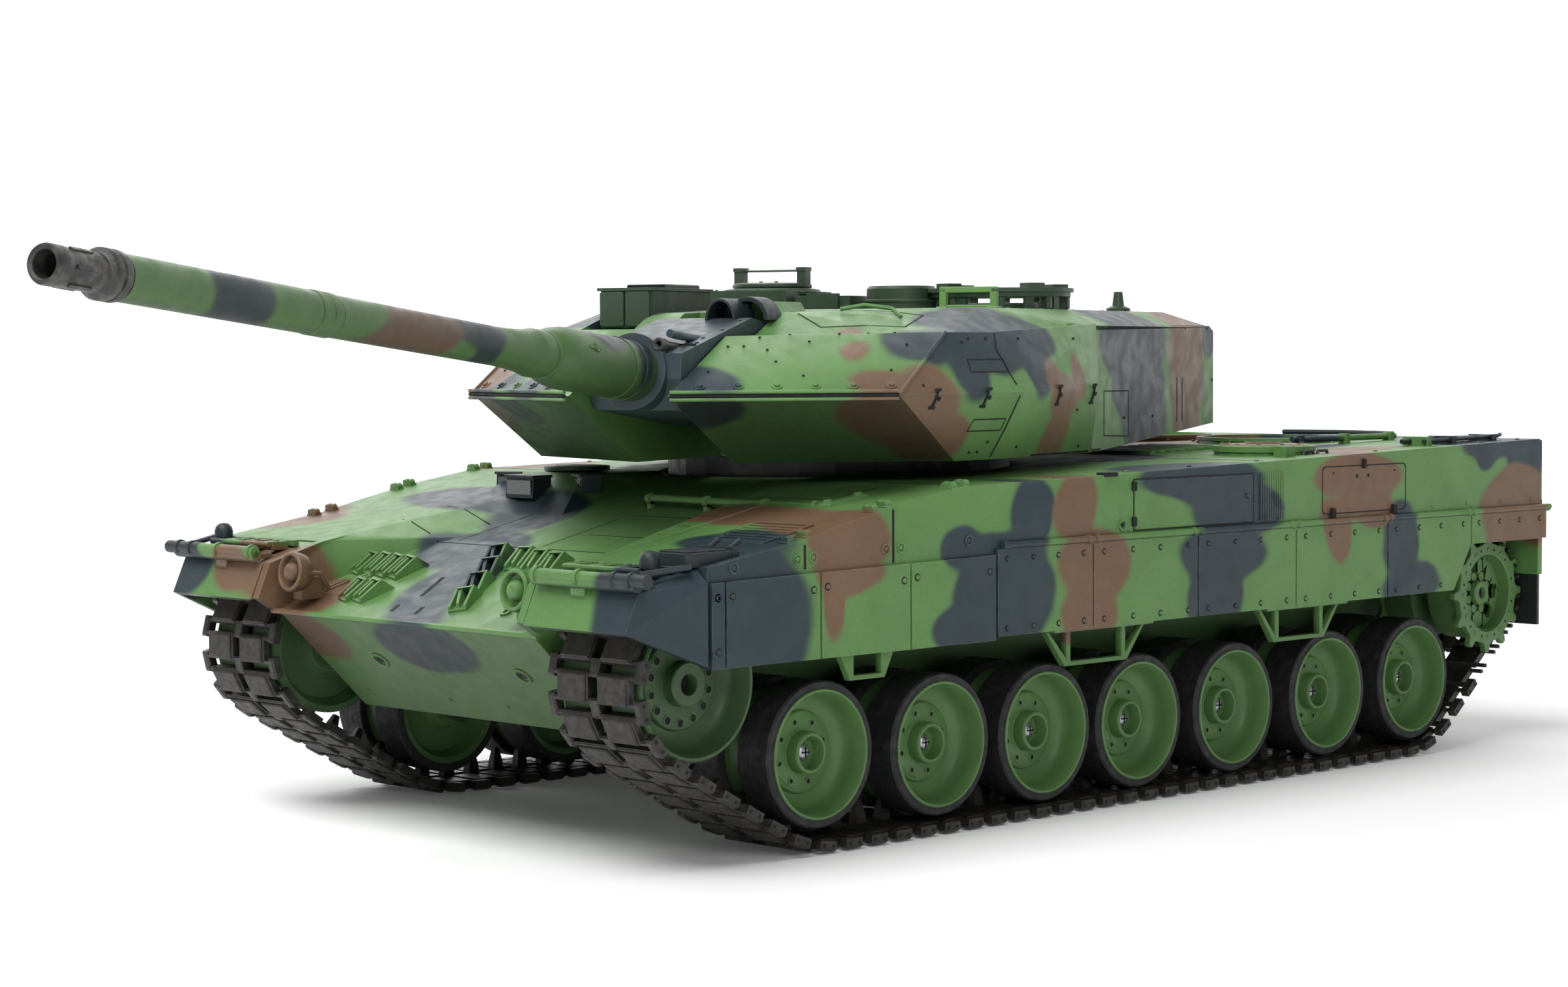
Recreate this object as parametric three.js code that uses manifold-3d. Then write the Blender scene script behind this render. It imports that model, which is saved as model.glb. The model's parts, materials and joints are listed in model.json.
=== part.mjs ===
// Radio-controlled battle tank model at about one sixteenth of full size.
// Millimetres, +Z up. The nose points along -Y and the tank's left side is +X.
// The turret rests turned a little to the left, with the gun slightly raised.
import * as THREE from 'three';
import { ConvexGeometry } from 'three/addons/geometries/ConvexGeometry.js';
import { mergeVertices } from 'three/addons/utils/BufferGeometryUtils.js';
import Module from 'manifold-3d';

const wasm = await Module();
wasm.setup();

// ---- driving dimensions -------------------------------------------------------------------
const GAP = 0.3;                     // clearance between neighbouring pieces
const HULL_HALF = 115.7;             // sponson side
const SKIRT_OUTER = 117.1;           // outer face of the side skirts
const TUB_HALF = 62;                 // lower hull side
const NOSE_Y = -200;
const REAR_Y = 241;
const WALL = 2.5;
const FLOOR_Z = 34;                  // underside of the belly
const SPONSON_Z = 83;                // underside of the shelf over the track
const DECK_FRONT = { y: -79, z: 105.7 };
const DECK_REAR = { y: 238, z: 112.7 };

const TRACK_IN = 67.15;
const TRACK_OUT = 106.85;
const BAND = 4.2;                    // thickness of the track band
const WHEEL_R = 21.68;
const WHEEL_Y = [-126.2, -74.8, -26.7, 19.7, 69.8, 122.7, 174.7];
const WHEEL_Z = [29.1, 27.3, 26.6, 26.3, 26.5, 26.9, 27.8];
const IDLER = { y: -174.2, z: 53, r: 21.6 };
const SPROCKET = { y: 219.8, z: 56, core: 17.2, tip: 22.1, root: 18.4, teeth: 11 };
const ARM = { dy: -20, dz: 11, thick: 4.4, r: 4.6 };

const TURRET_Y = -13.8;              // turning centre of the turret
const TURRET_YAW = 19.9;             // degrees to the left at rest
const RING_R = 58;
const TURRET_FLOOR = 112.4;
const RIDGE_Z = 133.4;
const SIDE_TOP_Z = 152;
const ROOF_Z = 160;

const TRUNNION = { y: -92, z: 135.5 };
const GUN_ELEVATION = 5.5;           // degrees at rest
const BORE_R = 3.3;
const MUZZLE = 321.5;                // muzzle's distance from the trunnion

const COMMANDER = { x: -42, y: 35 };
const LOADER = { x: 45, y: 35 };

// ---- colours ------------------------------------------------------------------------------
const paint = {
  green: new THREE.MeshStandardMaterial({ color: 0x5f8a45, roughness: 0.7, metalness: 0 }),
  dark: new THREE.MeshStandardMaterial({ color: 0x3b4c40, roughness: 0.7, metalness: 0 }),
  grey: new THREE.MeshStandardMaterial({ color: 0x4f5c66, roughness: 0.7, metalness: 0 }),
  track: new THREE.MeshStandardMaterial({ color: 0x2a2826, roughness: 0.8, metalness: 0 }),
  steel: new THREE.MeshStandardMaterial({ color: 0x8b8e90, roughness: 0.4, metalness: 0.9 }),
  black: new THREE.MeshStandardMaterial({ color: 0x17181a, roughness: 0.6, metalness: 0 }),
  board: new THREE.MeshStandardMaterial({ color: 0x1d5a33, roughness: 0.5, metalness: 0 }),
  pack: new THREE.MeshStandardMaterial({ color: 0x2a4a86, roughness: 0.5, metalness: 0 }),
};

// ---- solid helpers ------------------------------------------------------------------------
function solid(geometry) {
  const bare = geometry.clone();
  bare.deleteAttribute('normal');
  bare.deleteAttribute('uv');
  const merged = mergeVertices(bare, 1e-4);
  return new wasm.Manifold(new wasm.Mesh({
    numProp: 3,
    vertProperties: new Float32Array(merged.attributes.position.array),
    triVerts: new Uint32Array(merged.index.array),
  }));
}

function geometryOf(manifold) {
  const mesh = manifold.getMesh();
  const geometry = new THREE.BufferGeometry();
  geometry.setAttribute('position', new THREE.BufferAttribute(mesh.vertProperties, 3));
  geometry.setIndex(new THREE.BufferAttribute(mesh.triVerts, 1));
  geometry.computeVertexNormals();
  return geometry;
}

const join = (...parts) => parts.reduce((a, b) => a.add(b));
const cut = (body, ...tools) => tools.reduce((a, b) => a.subtract(b), body);
const mirrorX = (points) => points.map(([x, y, z]) => [-x, y, z]);

function box(x0, x1, y0, y1, z0, z1) {
  const geometry = new THREE.BoxGeometry(x1 - x0, y1 - y0, z1 - z0);
  geometry.translate((x0 + x1) / 2, (y0 + y1) / 2, (z0 + z1) / 2);
  return solid(geometry);
}

function shapeOf(points) {
  return new THREE.Shape(points.map(([a, b]) => new THREE.Vector2(a, b)));
}

// Outline in (y, z), extruded along X from x0 to x1.
function prismX(points, x0, x1, hole = null) {
  const shape = shapeOf(points);
  if (hole) {
    shape.holes.push(shapeOf(hole));
  }
  const geometry = new THREE.ExtrudeGeometry(shape, { depth: x1 - x0, bevelEnabled: false });
  geometry.translate(0, 0, x0);
  geometry.applyMatrix4(new THREE.Matrix4().makeBasis(
    new THREE.Vector3(0, 1, 0), new THREE.Vector3(0, 0, 1), new THREE.Vector3(1, 0, 0)));
  return solid(geometry);
}

function hull(points) {
  return solid(new ConvexGeometry(points.map(([x, y, z]) => new THREE.Vector3(x, y, z))));
}

// Turned piece about Z through (x, y): profile of [radius, z] from the axis out and back.
function turnZ(profile, x, y, segments) {
  const geometry = new THREE.LatheGeometry(profile.map(([r, h]) => new THREE.Vector2(r, h)), segments);
  geometry.rotateX(Math.PI / 2);
  geometry.translate(x, y, 0);
  return solid(geometry);
}

// Turned piece about X through (y, z): profile of [radius, x].
function turnX(profile, y, z, segments) {
  const geometry = new THREE.LatheGeometry(profile.map(([r, h]) => new THREE.Vector2(r, h)), segments);
  geometry.rotateZ(-Math.PI / 2);
  geometry.translate(0, y, z);
  return solid(geometry);
}

const rod = (r, h0, h1) => [[0, h0], [r, h0], [r, h1], [0, h1]];
const rodX = (r, x0, x1, y, z, segments = 16) => turnX(rod(r, x0, x1), y, z, segments);
const rodZ = (r, z0, z1, x, y, segments = 24) => turnZ(rod(r, z0, z1), x, y, segments);

function place(parent, name, body, material) {
  const mesh = new THREE.Mesh(geometryOf(body), material.clone());
  mesh.name = name;
  parent.add(mesh);
  return mesh;
}

// Height of the flat hull roof at y.
function deckZ(y) {
  const slope = (DECK_REAR.z - DECK_FRONT.z) / (DECK_REAR.y - DECK_FRONT.y);
  return DECK_FRONT.z + slope * (y - DECK_FRONT.y);
}

// Outline of a slab parallel to the roof, between two depths under it.
function deckSlab(y0, y1, top, bottom) {
  return [[y0, deckZ(y0) - bottom], [y1, deckZ(y1) - bottom], [y1, deckZ(y1) - top], [y0, deckZ(y0) - top]];
}

// ---- groups -------------------------------------------------------------------------------
const tank = new THREE.Group();
const hullGroup = new THREE.Group();
const turret = new THREE.Group();
const gun = new THREE.Group();
turret.position.set(0, TURRET_Y, 0);
turret.rotation.z = THREE.MathUtils.degToRad(TURRET_YAW);
gun.position.set(0, TRUNNION.y, TRUNNION.z);
gun.rotation.x = -THREE.MathUtils.degToRad(GUN_ELEVATION);
turret.add(gun);
hullGroup.add(turret);
tank.add(hullGroup);

// ---- lower hull ---------------------------------------------------------------------------
function lowerHull() {
  const outline = [
    [-167, FLOOR_Z], [226, FLOOR_Z], [237.8, 44], [237.8, 82.6], [-152, 82.6],
    [-193, 65.6], [-199.4, 65.6],
  ];
  const inside = [
    [-164, FLOOR_Z + WALL], [224.5, FLOOR_Z + WALL], [235.3, 46], [235.3, 90], [-150, 90],
    [-150, 80.5], [-192, 64],
  ];
  let body = prismX(outline, -TUB_HALF, TUB_HALF);
  body = body.subtract(prismX(inside, -TUB_HALF + WALL, TUB_HALF - WALL));
  for (const side of [-1, 1]) {
    const stub = side > 0 ? [TUB_HALF - 1, 69.4] : [-69.4, -TUB_HALF + 1];
    body = body.add(rodX(4, stub[0], stub[1], IDLER.y, IDLER.z));
    body = body.subtract(rodX(3.6, side * TUB_HALF - 4, side * TUB_HALF + 4, SPROCKET.y, SPROCKET.z));
  }
  return body;
}
place(hullGroup, 'lower_hull', lowerHull(), paint.green);

// ---- upper hull ---------------------------------------------------------------------------
const DRIVER = { x: -45, y: -92, r: 11 };
const DRIVER_HOOD_Z = 106.9;
const ENGINE_DECK = { half: 60, y0: 78, y1: 232 };
const COVER = { x: 84, y: 112, r: 17.5 };

// Raised round cover over the air intake, on the shelf beside the engine deck.
function intakeCover(side) {
  const z = deckZ(COVER.y);
  const r = COVER.r;
  return turnZ([[0, z - 1.5], [r, z - 1.5], [r, z + 2.2], [r - 2, z + 3.4], [0, z + 3.8]], side * COVER.x, COVER.y, 18);
}

function upperHull() {
  const centre = [
    [NOSE_Y, 66], [-152, 86], [DECK_FRONT.y, DECK_FRONT.z], [DECK_REAR.y, DECK_REAR.z],
    [DECK_REAR.y, SPONSON_Z], [-148, SPONSON_Z], [-193, 65.9],
  ];
  const shelf = [
    [-182, SPONSON_Z], [-182, 87], [-145.7, 92.9], [-108.4, 101.2],
    [DECK_FRONT.y, DECK_FRONT.z], [DECK_REAR.y, DECK_REAR.z], [DECK_REAR.y, SPONSON_Z],
  ];
  const hollow = [
    [-158, SPONSON_Z + WALL], [-145, 90.1], [-108, 98.4], [DECK_FRONT.y, 103],
    [DECK_REAR.y - WALL, 110.1], [DECK_REAR.y - WALL, SPONSON_Z + WALL],
  ];
  const under = [
    [-192.4, 60], [-192.4, 66.2], [-151, 83.5], [DECK_FRONT.y, 103],
    [DECK_REAR.y - WALL, 110.1], [DECK_REAR.y - WALL, 60],
  ];
  // wall that closes the shelf's inner edge and the mudguard down to the bow plate
  const cheekWall = [
    [-193, 65.9], [NOSE_Y, 66], [-206.8, 70.4], [-202.2, 81.2], [-182, 87], [-145.7, 92.9], [-144, SPONSON_Z],
  ];
  const cheek = 66.3;
  let body = prismX(centre, -cheek, cheek);
  body = body.add(prismX(shelf, cheek - 1, HULL_HALF));
  body = body.add(prismX(shelf, -HULL_HALF, -cheek + 1));
  body = body.add(prismX(cheekWall, cheek - 3, cheek));
  body = body.add(prismX(cheekWall, -cheek, -cheek + 3));
  // ramps from the sloping front roof up to the shelf's edge
  const ramp = [
    [cheek, -145.7, 92.9], [cheek - 26, -145.7, 87.6], [cheek, -145.7, 86], [cheek - 26, -145.7, 86],
    [cheek, -182, 87], [cheek - 3, -182, 73], [cheek, -182, 73],
    [cheek, DECK_FRONT.y, DECK_FRONT.z], [cheek - 26, DECK_FRONT.y, DECK_FRONT.z - 0.1],
    [cheek, DECK_FRONT.y, 100], [cheek, -108.4, 101.2],
  ];
  body = join(body, hull(ramp), hull(mirrorX(ramp)));
  body = body.subtract(prismX(hollow, TUB_HALF, HULL_HALF - WALL));
  body = body.subtract(prismX(hollow, -HULL_HALF + WALL, -TUB_HALF));
  body = body.subtract(prismX(under, -TUB_HALF - 1.3, TUB_HALF + 1.3));
  // raised housing round the driver's hatch
  const hood = hull([
    [-70, -122, 93.5], [-18, -122, 93.5], [-66, -112, 99], [-24, -112, 99],
    [-62, -104, DRIVER_HOOD_Z], [-28, -104, DRIVER_HOOD_Z],
    [-64, -72, DRIVER_HOOD_Z], [-26, -72, DRIVER_HOOD_Z],
    [-72, -72, 102], [-18, -72, 102], [-70, -122, 92], [-18, -122, 92],
  ]);
  body = body.add(hood);
  body = body.subtract(rodZ(DRIVER.r - 2, 88, 120, DRIVER.x, DRIVER.y, 20));
  // low collar under the turret
  body = body.subtract(rodZ(RING_R + 3, 90, 120, 0, TURRET_Y, 30));
  // opening for the engine deck
  const d = ENGINE_DECK;
  body = body.subtract(box(-d.half - GAP, d.half + GAP, d.y0 - GAP, d.y1 + GAP, 100, 120));
  // ledge that carries the engine deck
  const ledge = prismX(deckSlab(d.y0 - 2, d.y1 + 2, 2.4, 4.8), -d.half - 2, d.half + 2);
  body = body.add(ledge.subtract(box(-d.half + 3, d.half - 3, d.y0 + 3, d.y1 - 3, 100, 120)));
  return join(body, intakeCover(1), intakeCover(-1));
}
place(hullGroup, 'upper_hull', upperHull(), paint.green);

// ---- engine deck --------------------------------------------------------------------------
const FAN = { x: 31, y: 186, r: 25 };

function engineDeck() {
  const d = ENGINE_DECK;
  let body = prismX(deckSlab(d.y0, d.y1, 0, 2.1), -d.half, d.half);
  for (const side of [-1, 1]) {
    const x = side * FAN.x;
    const top = deckZ(FAN.y);
    body = body.add(rodZ(FAN.r + 2, top - 2, top + 1.4, x, FAN.y, 20));
    body = body.subtract(rodZ(FAN.r, top - 1.6, top + 5, x, FAN.y, 20));
    body = body.add(rodZ(5, top - 3, top + 0.8, x, FAN.y, 10));
  }
  return body;
}
place(hullGroup, 'engine_deck', engineDeck(), paint.green);

// ---- mirroring left pieces to the right ----------------------------------------------------
const mirror = new THREE.Matrix4().makeScale(-1, 1, 1);

// Mirror image across x = 0 with its faces still pointing out.
function mirrored(body) {
  const geometry = geometryOf(body).applyMatrix4(mirror);
  const index = geometry.index.array;
  for (let i = 0; i < index.length; i += 3) {
    [index[i], index[i + 1]] = [index[i + 1], index[i]];
  }
  return solid(geometry);
}

const sides = [['left', (body) => body], ['right', mirrored]];

// ---- side skirts --------------------------------------------------------------------------
// Step frames: first and last y, and the height of the tread.
const STEPS = [[-128, -104, 51], [-38, 12, 48], [70, 117, 48]];

// Trapezoid step frame that hangs under the skirt.
function stepFrame(y0, y1, bottom) {
  const run = Math.min(12, (y1 - y0) / 4);
  const bar = 2.2;
  const outer = [[y0, 59.6], [y0 + run, bottom], [y1 - run, bottom], [y1, 59.6]];
  const inner = [
    [y0 + bar * 1.6, 59.6], [y0 + run + bar * 0.4, bottom + bar], [y1 - run - bar * 0.4, bottom + bar],
    [y1 - bar * 1.6, 59.6],
  ];
  const post = (y) => box(110.6, 112.8, y, y + bar, bottom, 59.6);
  const frame = prismX(outer, 110.6, 112.8).subtract(prismX(inner, 110, 113));
  const hook = box(110.6, HULL_HALF + 0.9, y0, y1, 59.4, 61.4);
  return join(frame, post(y0 + run + 1), post(y1 - run - bar - 1), hook);
}

function skirt() {
  const heavy = [[-181.7, 58.9], [-63.9, 58.9], [-63.9, 84.8], [-181.7, 82.8]];
  const light = [
    [-64.2, 60], [180, 60], [191.1, 76], [241, 76], [241, 86.4], [-64.2, 86.4],
  ];
  const inner = HULL_HALF + GAP;
  const thin = prismX(light, inner, SKIRT_OUTER - 0.1);
  const thick = prismX(heavy, HULL_HALF - 4.2, SKIRT_OUTER);
  const clearFront = box(100, inner, -190, -60, 82.6, 95);
  const rail = box(inner, SKIRT_OUTER + 0.7, -64, 244, 86.2, 88.6);
  const steps = STEPS.map(([y0, y1, bottom]) => stepFrame(y0, y1, bottom));
  return join(thin, thick.subtract(clearFront), rail, ...steps);
}
// ---- front mudguard -----------------------------------------------------------------------
function mudguard() {
  const outer = hull([
    [66.8, -202.6, 81], [110.3, -202.6, 81], [66.8, -207.5, 69.9], [110.3, -207.5, 69.9],
    [66.8, -182.3, 86.6], [112, -182.3, 86.6], [116.8, -182.3, 82.8], [116.8, -182.3, 59.4],
    [66.8, -182.3, 69.9],
  ]);
  const inner = hull([
    [60, -200.8, 78.6], [108.4, -200.8, 78.6], [60, -205.4, 68], [108.6, -205.4, 68],
    [60, -180, 84.6], [110.6, -180, 84.6], [114.4, -180, 81], [114.4, -180, 50],
    [60, -180, 50], [60, -205.4, 50], [108.6, -205.4, 50],
  ]);
  const shell = outer.subtract(inner);
  // folded side marker tube along the upper edge
  const tube = rodX(2.1, 68, 112, -203.9, 83.2, 12);
  const foot = box(84, 90, -204.5, -201, 79, 83);
  return join(shell, tube, foot);
}

// ---- rear mud flap ------------------------------------------------------------------------
function rearFlap() {
  return join(box(68, 113, 242.6, 244.6, 43, 90), box(68, 113, REAR_Y + GAP, 244.6, 84.5, 90));
}

// ---- track --------------------------------------------------------------------------------
function cross(o, a, b) {
  return (a[0] - o[0]) * (b[1] - o[1]) - (a[1] - o[1]) * (b[0] - o[0]);
}

// Outline of a belt stretched round circles [y, z, r], as a convex loop of points.
function belt(circles, grow) {
  const points = [];
  const steps = 24;
  for (const [y, z, r] of circles) {
    for (let i = 0; i < steps; i += 1) {
      const angle = (2 * Math.PI * i) / steps;
      points.push([y + (r + grow) * Math.cos(angle), z + (r + grow) * Math.sin(angle)]);
    }
  }
  points.sort((a, b) => a[0] - b[0] || a[1] - b[1]);
  const half = (list) => {
    const chain = [];
    for (const p of list) {
      while (chain.length > 1 && cross(chain[chain.length - 2], chain[chain.length - 1], p) <= 1e-6) {
        chain.pop();
      }
      chain.push(p);
    }
    chain.pop();
    return chain;
  };
  return [...half(points), ...half(points.reverse())];
}

const BELT_CIRCLES = [
  [IDLER.y, IDLER.z, 22.1],
  [SPROCKET.y, SPROCKET.z, 17.6],
  [WHEEL_Y[0], BAND + 22.2, 22.2],
  [WHEEL_Y[6], BAND + 22.2, 22.2],
];

function track() {
  const band = prismX(belt(BELT_CIRCLES, BAND), TRACK_IN, TRACK_OUT, belt(BELT_CIRCLES, 0));
  const relief = SPROCKET.tip + 0.6;
  const outer = rodX(relief, 102.4, 110, SPROCKET.y, SPROCKET.z, 24);
  const inner = rodX(relief, 60, 71.6, SPROCKET.y, SPROCKET.z, 24);
  return cut(band, outer, inner);
}

// ---- wheels -------------------------------------------------------------------------------
const WHEEL_PROFILE = [
  [0, 71], [WHEEL_R, 71], [WHEEL_R, 83.4], [9, 83.4], [9, 90.6], [WHEEL_R, 90.6],
  [WHEEL_R, 103.8], [18.8, 103.8], [16.5, 95.5], [7.4, 95.5], [7.4, 101.8], [0, 101.8],
];
const IDLER_PROFILE = [
  [0, 69.9], [IDLER.r, 69.9], [IDLER.r, 83.4], [9, 83.4], [9, 90.6], [IDLER.r, 90.6],
  [IDLER.r, 103], [19, 103], [17, 95], [8, 95], [8, 99], [0, 99],
];

function toothRing(x0, x1) {
  const points = [];
  const { teeth, tip, root } = SPROCKET;
  const profile = [[-0.26, root], [-0.12, tip], [0.12, tip], [0.26, root]];
  for (let i = 0; i < teeth; i += 1) {
    for (const [part, r] of profile) {
      const angle = (2 * Math.PI * (i + part)) / teeth;
      points.push([SPROCKET.y + r * Math.cos(angle), SPROCKET.z + r * Math.sin(angle)]);
    }
  }
  return prismX(points, x0, x1);
}

function sprocket() {
  const core = turnX([[0, 68.8], [SPROCKET.core, 68.8], [SPROCKET.core, 105.6], [14, 105.6],
    [13, 100], [6, 100], [6, 104], [0, 104]], SPROCKET.y, SPROCKET.z, 16);
  const face = rodX(13.9, 100.5, 110, SPROCKET.y, SPROCKET.z, 16);
  const hub = rodX(6, 99, 104, SPROCKET.y, SPROCKET.z, 12);
  const rings = join(toothRing(68.8, 71.2), toothRing(102.9, 105.6));
  return join(core, rings).subtract(face).add(hub);
}

// Trailing arm: the pivot is ahead of and above the wheel axle.
function swingArm(y, z) {
  const py = y + ARM.dy;
  const pz = z + ARM.dz;
  const x0 = TUB_HALF + 1.3;
  const x1 = x0 + ARM.thick;
  const ends = [[py, pz], [y, z]];
  const rim = [];
  for (const [cy, cz] of ends) {
    for (let i = 0; i < 8; i += 1) {
      const angle = (2 * Math.PI * i) / 8;
      rim.push([x0, cy + ARM.r * Math.cos(angle), cz + ARM.r * Math.sin(angle)]);
      rim.push([x1, cy + ARM.r * Math.cos(angle), cz + ARM.r * Math.sin(angle)]);
    }
  }
  const pivot = rodX(3.2, TUB_HALF + GAP, x0 + 1, py, pz, 8);
  const axle = rodX(3.2, x1 - 1, 71 - GAP, y, z, 8);
  return join(hull(rim), pivot, axle);
}

// ---- mirrored hull pieces -----------------------------------------------------------------
for (const [side, flip] of sides) {
  place(hullGroup, `${side}_skirt`, flip(skirt()), paint.green);
  place(hullGroup, `${side}_mudguard`, flip(mudguard()), paint.green);
  place(hullGroup, `${side}_rear_flap`, flip(rearFlap()), paint.green);
  place(hullGroup, `${side}_track`, flip(track()), paint.track);
  WHEEL_Y.forEach((y, i) => {
    const z = WHEEL_Z[i];
    place(hullGroup, `${side}_wheel_${i + 1}`, flip(turnX(WHEEL_PROFILE, y, z, 14)), paint.green);
    place(hullGroup, `${side}_arm_${i + 1}`, flip(swingArm(y, z)), paint.dark);
  });
  place(hullGroup, `${side}_idler`, flip(turnX(IDLER_PROFILE, IDLER.y, IDLER.z, 16)), paint.green);
  place(hullGroup, `${side}_sprocket`, flip(sprocket()), paint.green);
}

// ---- rear plate ---------------------------------------------------------------------------
function rearPlate() {
  const y0 = DECK_REAR.y + GAP;
  const wide = box(-115, 115, y0, REAR_Y, 84, 112.3);
  const narrow = box(-TUB_HALF, TUB_HALF, y0, REAR_Y, 45, 85);
  return join(wide, narrow);
}
place(hullGroup, 'rear_plate', rearPlate(), paint.green);

// ---- driver's hatch -----------------------------------------------------------------------
function driverHatch() {
  const z = DRIVER_HOOD_Z + GAP;
  return join(
    rodZ(DRIVER.r, z, z + 1.6, DRIVER.x, DRIVER.y, 20),
    box(DRIVER.x - 16, DRIVER.x - 6, DRIVER.y + 4, DRIVER.y + 9, z, z + 1.6),
  );
}
place(hullGroup, 'driver_hatch', driverHatch(), paint.dark);

// ---- drive, power and control inside the hull ---------------------------------------------
function gearbox() {
  const motors = join(rodX(12, -50, 50, 178, 54, 16), box(-50, 50, 176, 192, 42, 60));
  const shaft = rodX(3.2, -68.5, 68.5, SPROCKET.y, SPROCKET.z, 12);
  return join(box(-58, 58, 190, 231, 44, 70), motors, shaft);
}
place(hullGroup, 'drive_gearbox', gearbox(), paint.steel);
place(hullGroup, 'battery_pack', box(-34, 34, -60, 70, 37, 62), paint.pack);
place(hullGroup, 'control_board', box(-36, 36, 80, 150, 64, 67), paint.board);
place(hullGroup, 'speaker', turnZ([[0, 37], [15, 37], [26, 54], [26, 58], [0, 58]], 0, 115, 24), paint.black);

// ---- turret shell -------------------------------------------------------------------------
const GUN_SLOT = 16.6;               // half width of the slot between the front wedges
const WEDGE = {
  ridgeIn: [17, -154.3, RIDGE_Z],
  ridgeOut: [73.6, -116.3, RIDGE_Z],
  ridgeRear: [89, -54.7, RIDGE_Z],
  topIn: [17, -117, SIDE_TOP_Z - 1],
  topOut: [73.5, -81, SIDE_TOP_Z],
  topRear: [79, -58, SIDE_TOP_Z],
  footIn: [17, -112, TURRET_FLOOR],
  footOut: [73.4, -74, TURRET_FLOOR],
  footRear: [78.5, -55, TURRET_FLOOR],
};
const ARMOUR_END = {
  ridge: [91, 7, RIDGE_Z],
  top: [86, 18, 155],
  foot: [86, 13, TURRET_FLOOR],
};
const BUSTLE_HALF = 83;
const BUSTLE_REAR = 152.6;

function turretSolid() {
  const wedge = [
    ...Object.values(WEDGE),
    [GUN_SLOT, -58, SIDE_TOP_Z], [GUN_SLOT, -55, TURRET_FLOOR], [GUN_SLOT, -154.3, RIDGE_Z],
    [GUN_SLOT, -117, SIDE_TOP_Z - 1], [GUN_SLOT, -112, TURRET_FLOOR],
  ];
  const middle = [
    WEDGE.ridgeRear, WEDGE.topRear, WEDGE.footRear, ...Object.values(ARMOUR_END),
  ];
  const bustle = [
    [BUSTLE_HALF, 0, TURRET_FLOOR], [BUSTLE_HALF, 29, TURRET_FLOOR], [BUSTLE_HALF, 92, 119.6],
    [BUSTLE_HALF, BUSTLE_REAR, 119], [BUSTLE_HALF, BUSTLE_REAR, 153], [BUSTLE_HALF, BUSTLE_REAR - 5, 155],
    [BUSTLE_HALF, 0, 155],
  ];
  const roof = [
    [79, -58, SIDE_TOP_Z - 2], [73.5, -81, SIDE_TOP_Z - 2], [17, -100, SIDE_TOP_Z - 2],
    [86, 18, 154.4], [BUSTLE_HALF, BUSTLE_REAR - 3, 154.4],
    [20, -80, 158.6], [60, -56, 158.6], [68, -40, ROOF_Z], [71, 20, ROOF_Z], [71, 130, ROOF_Z],
    [68, 143, 159],
  ];
  const both = (points) => hull([...points, ...mirrorX(points)]);
  return join(hull(wedge), hull(mirrorX(wedge)), both(middle), both(bustle), both(roof));
}

function turretShell() {
  const slot = box(-GUN_SLOT, GUN_SLOT, -170, -70, 100, 170);
  const inside = join(
    box(-66, 66, -48, 10, TURRET_FLOOR + WALL, 151),
    box(-78, 78, 5, BUSTLE_REAR - 3, 122.5, 151),
    box(-66, 66, 5, 60, TURRET_FLOOR + WALL + 3, 151),
    box(-13, 13, -75, -40, TURRET_FLOOR + WALL, 150),
    rodZ(50, 100, 140, 0, 0, 24),
  );
  const cupola = rodZ(15, ROOF_Z - 2, 168.4, COMMANDER.x, COMMANDER.y, 12);
  const cupolaWell = rodZ(11.5, 150, 175, COMMANDER.x, COMMANDER.y, 12);
  const loaderWell = rodZ(11.6, 150, 170, LOADER.x, LOADER.y, 16);
  const hood = hull([
    [2, -62, 158.3], [18, -62, 158.3], [2, -84, 158.3], [18, -84, 158.3], [4.5, -62, 162], [15.5, -62, 162],
    [5, -83, 162], [15, -83, 162],
  ]);
  const sightPocket = box(-56.4, -31, -110, -27, 153.6, 170);
  const shell = cut(turretSolid(), slot, inside, sightPocket);
  return join(shell, cupola, hood).subtract(cupolaWell).subtract(loaderWell);
}
place(turret, 'turret_shell', turretShell(), paint.green);

// ---- turret ring and its drive ------------------------------------------------------------
const RING_PROFILE = [
  [49, 98.5], [RING_R + 5, 98.5], [RING_R + 5, 101.5], [RING_R, 101.5],
  [RING_R, TURRET_FLOOR - GAP], [49, TURRET_FLOOR - GAP], [49, 98.5],
];
place(turret, 'turret_ring', turnZ(RING_PROFILE, 0, 0, 30), paint.black);
place(hullGroup, 'turret_drive', join(
  box(-14, 14, 54, 74, 70, 98),
  rodZ(4, 97, 101.5, 0, 57, 12),
), paint.black);
place(turret, 'gun_lift_unit', box(-11, 11, -44, -18, TURRET_FLOOR + WALL + GAP, 138), paint.black);

// ---- roof fittings ------------------------------------------------------------------------
const sight = join(box(-53, -34, -70, -28, 153.6 + GAP, 166.6), box(-51, -36, -56, -32, 166, 168.6));
place(turret, 'gunner_sight', sight, paint.dark);
place(turret, 'commander_hatch', join(
  rodZ(14.2, 168.7, 170.4, COMMANDER.x, COMMANDER.y, 20),
  box(COMMANDER.x - 14, COMMANDER.x - 10.6, COMMANDER.y - 2, COMMANDER.y + 2, 170, 176),
  box(COMMANDER.x + 10.6, COMMANDER.x + 14, COMMANDER.y - 2, COMMANDER.y + 2, 170, 176),
  box(COMMANDER.x - 12, COMMANDER.x + 12, COMMANDER.y - 0.5, COMMANDER.y + 0.5, 174.4, 175.4),
), paint.dark);
place(turret, 'loader_hatch', rodZ(13, ROOF_Z + GAP, ROOF_Z + 2.4, LOADER.x, LOADER.y, 20), paint.dark);

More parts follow.
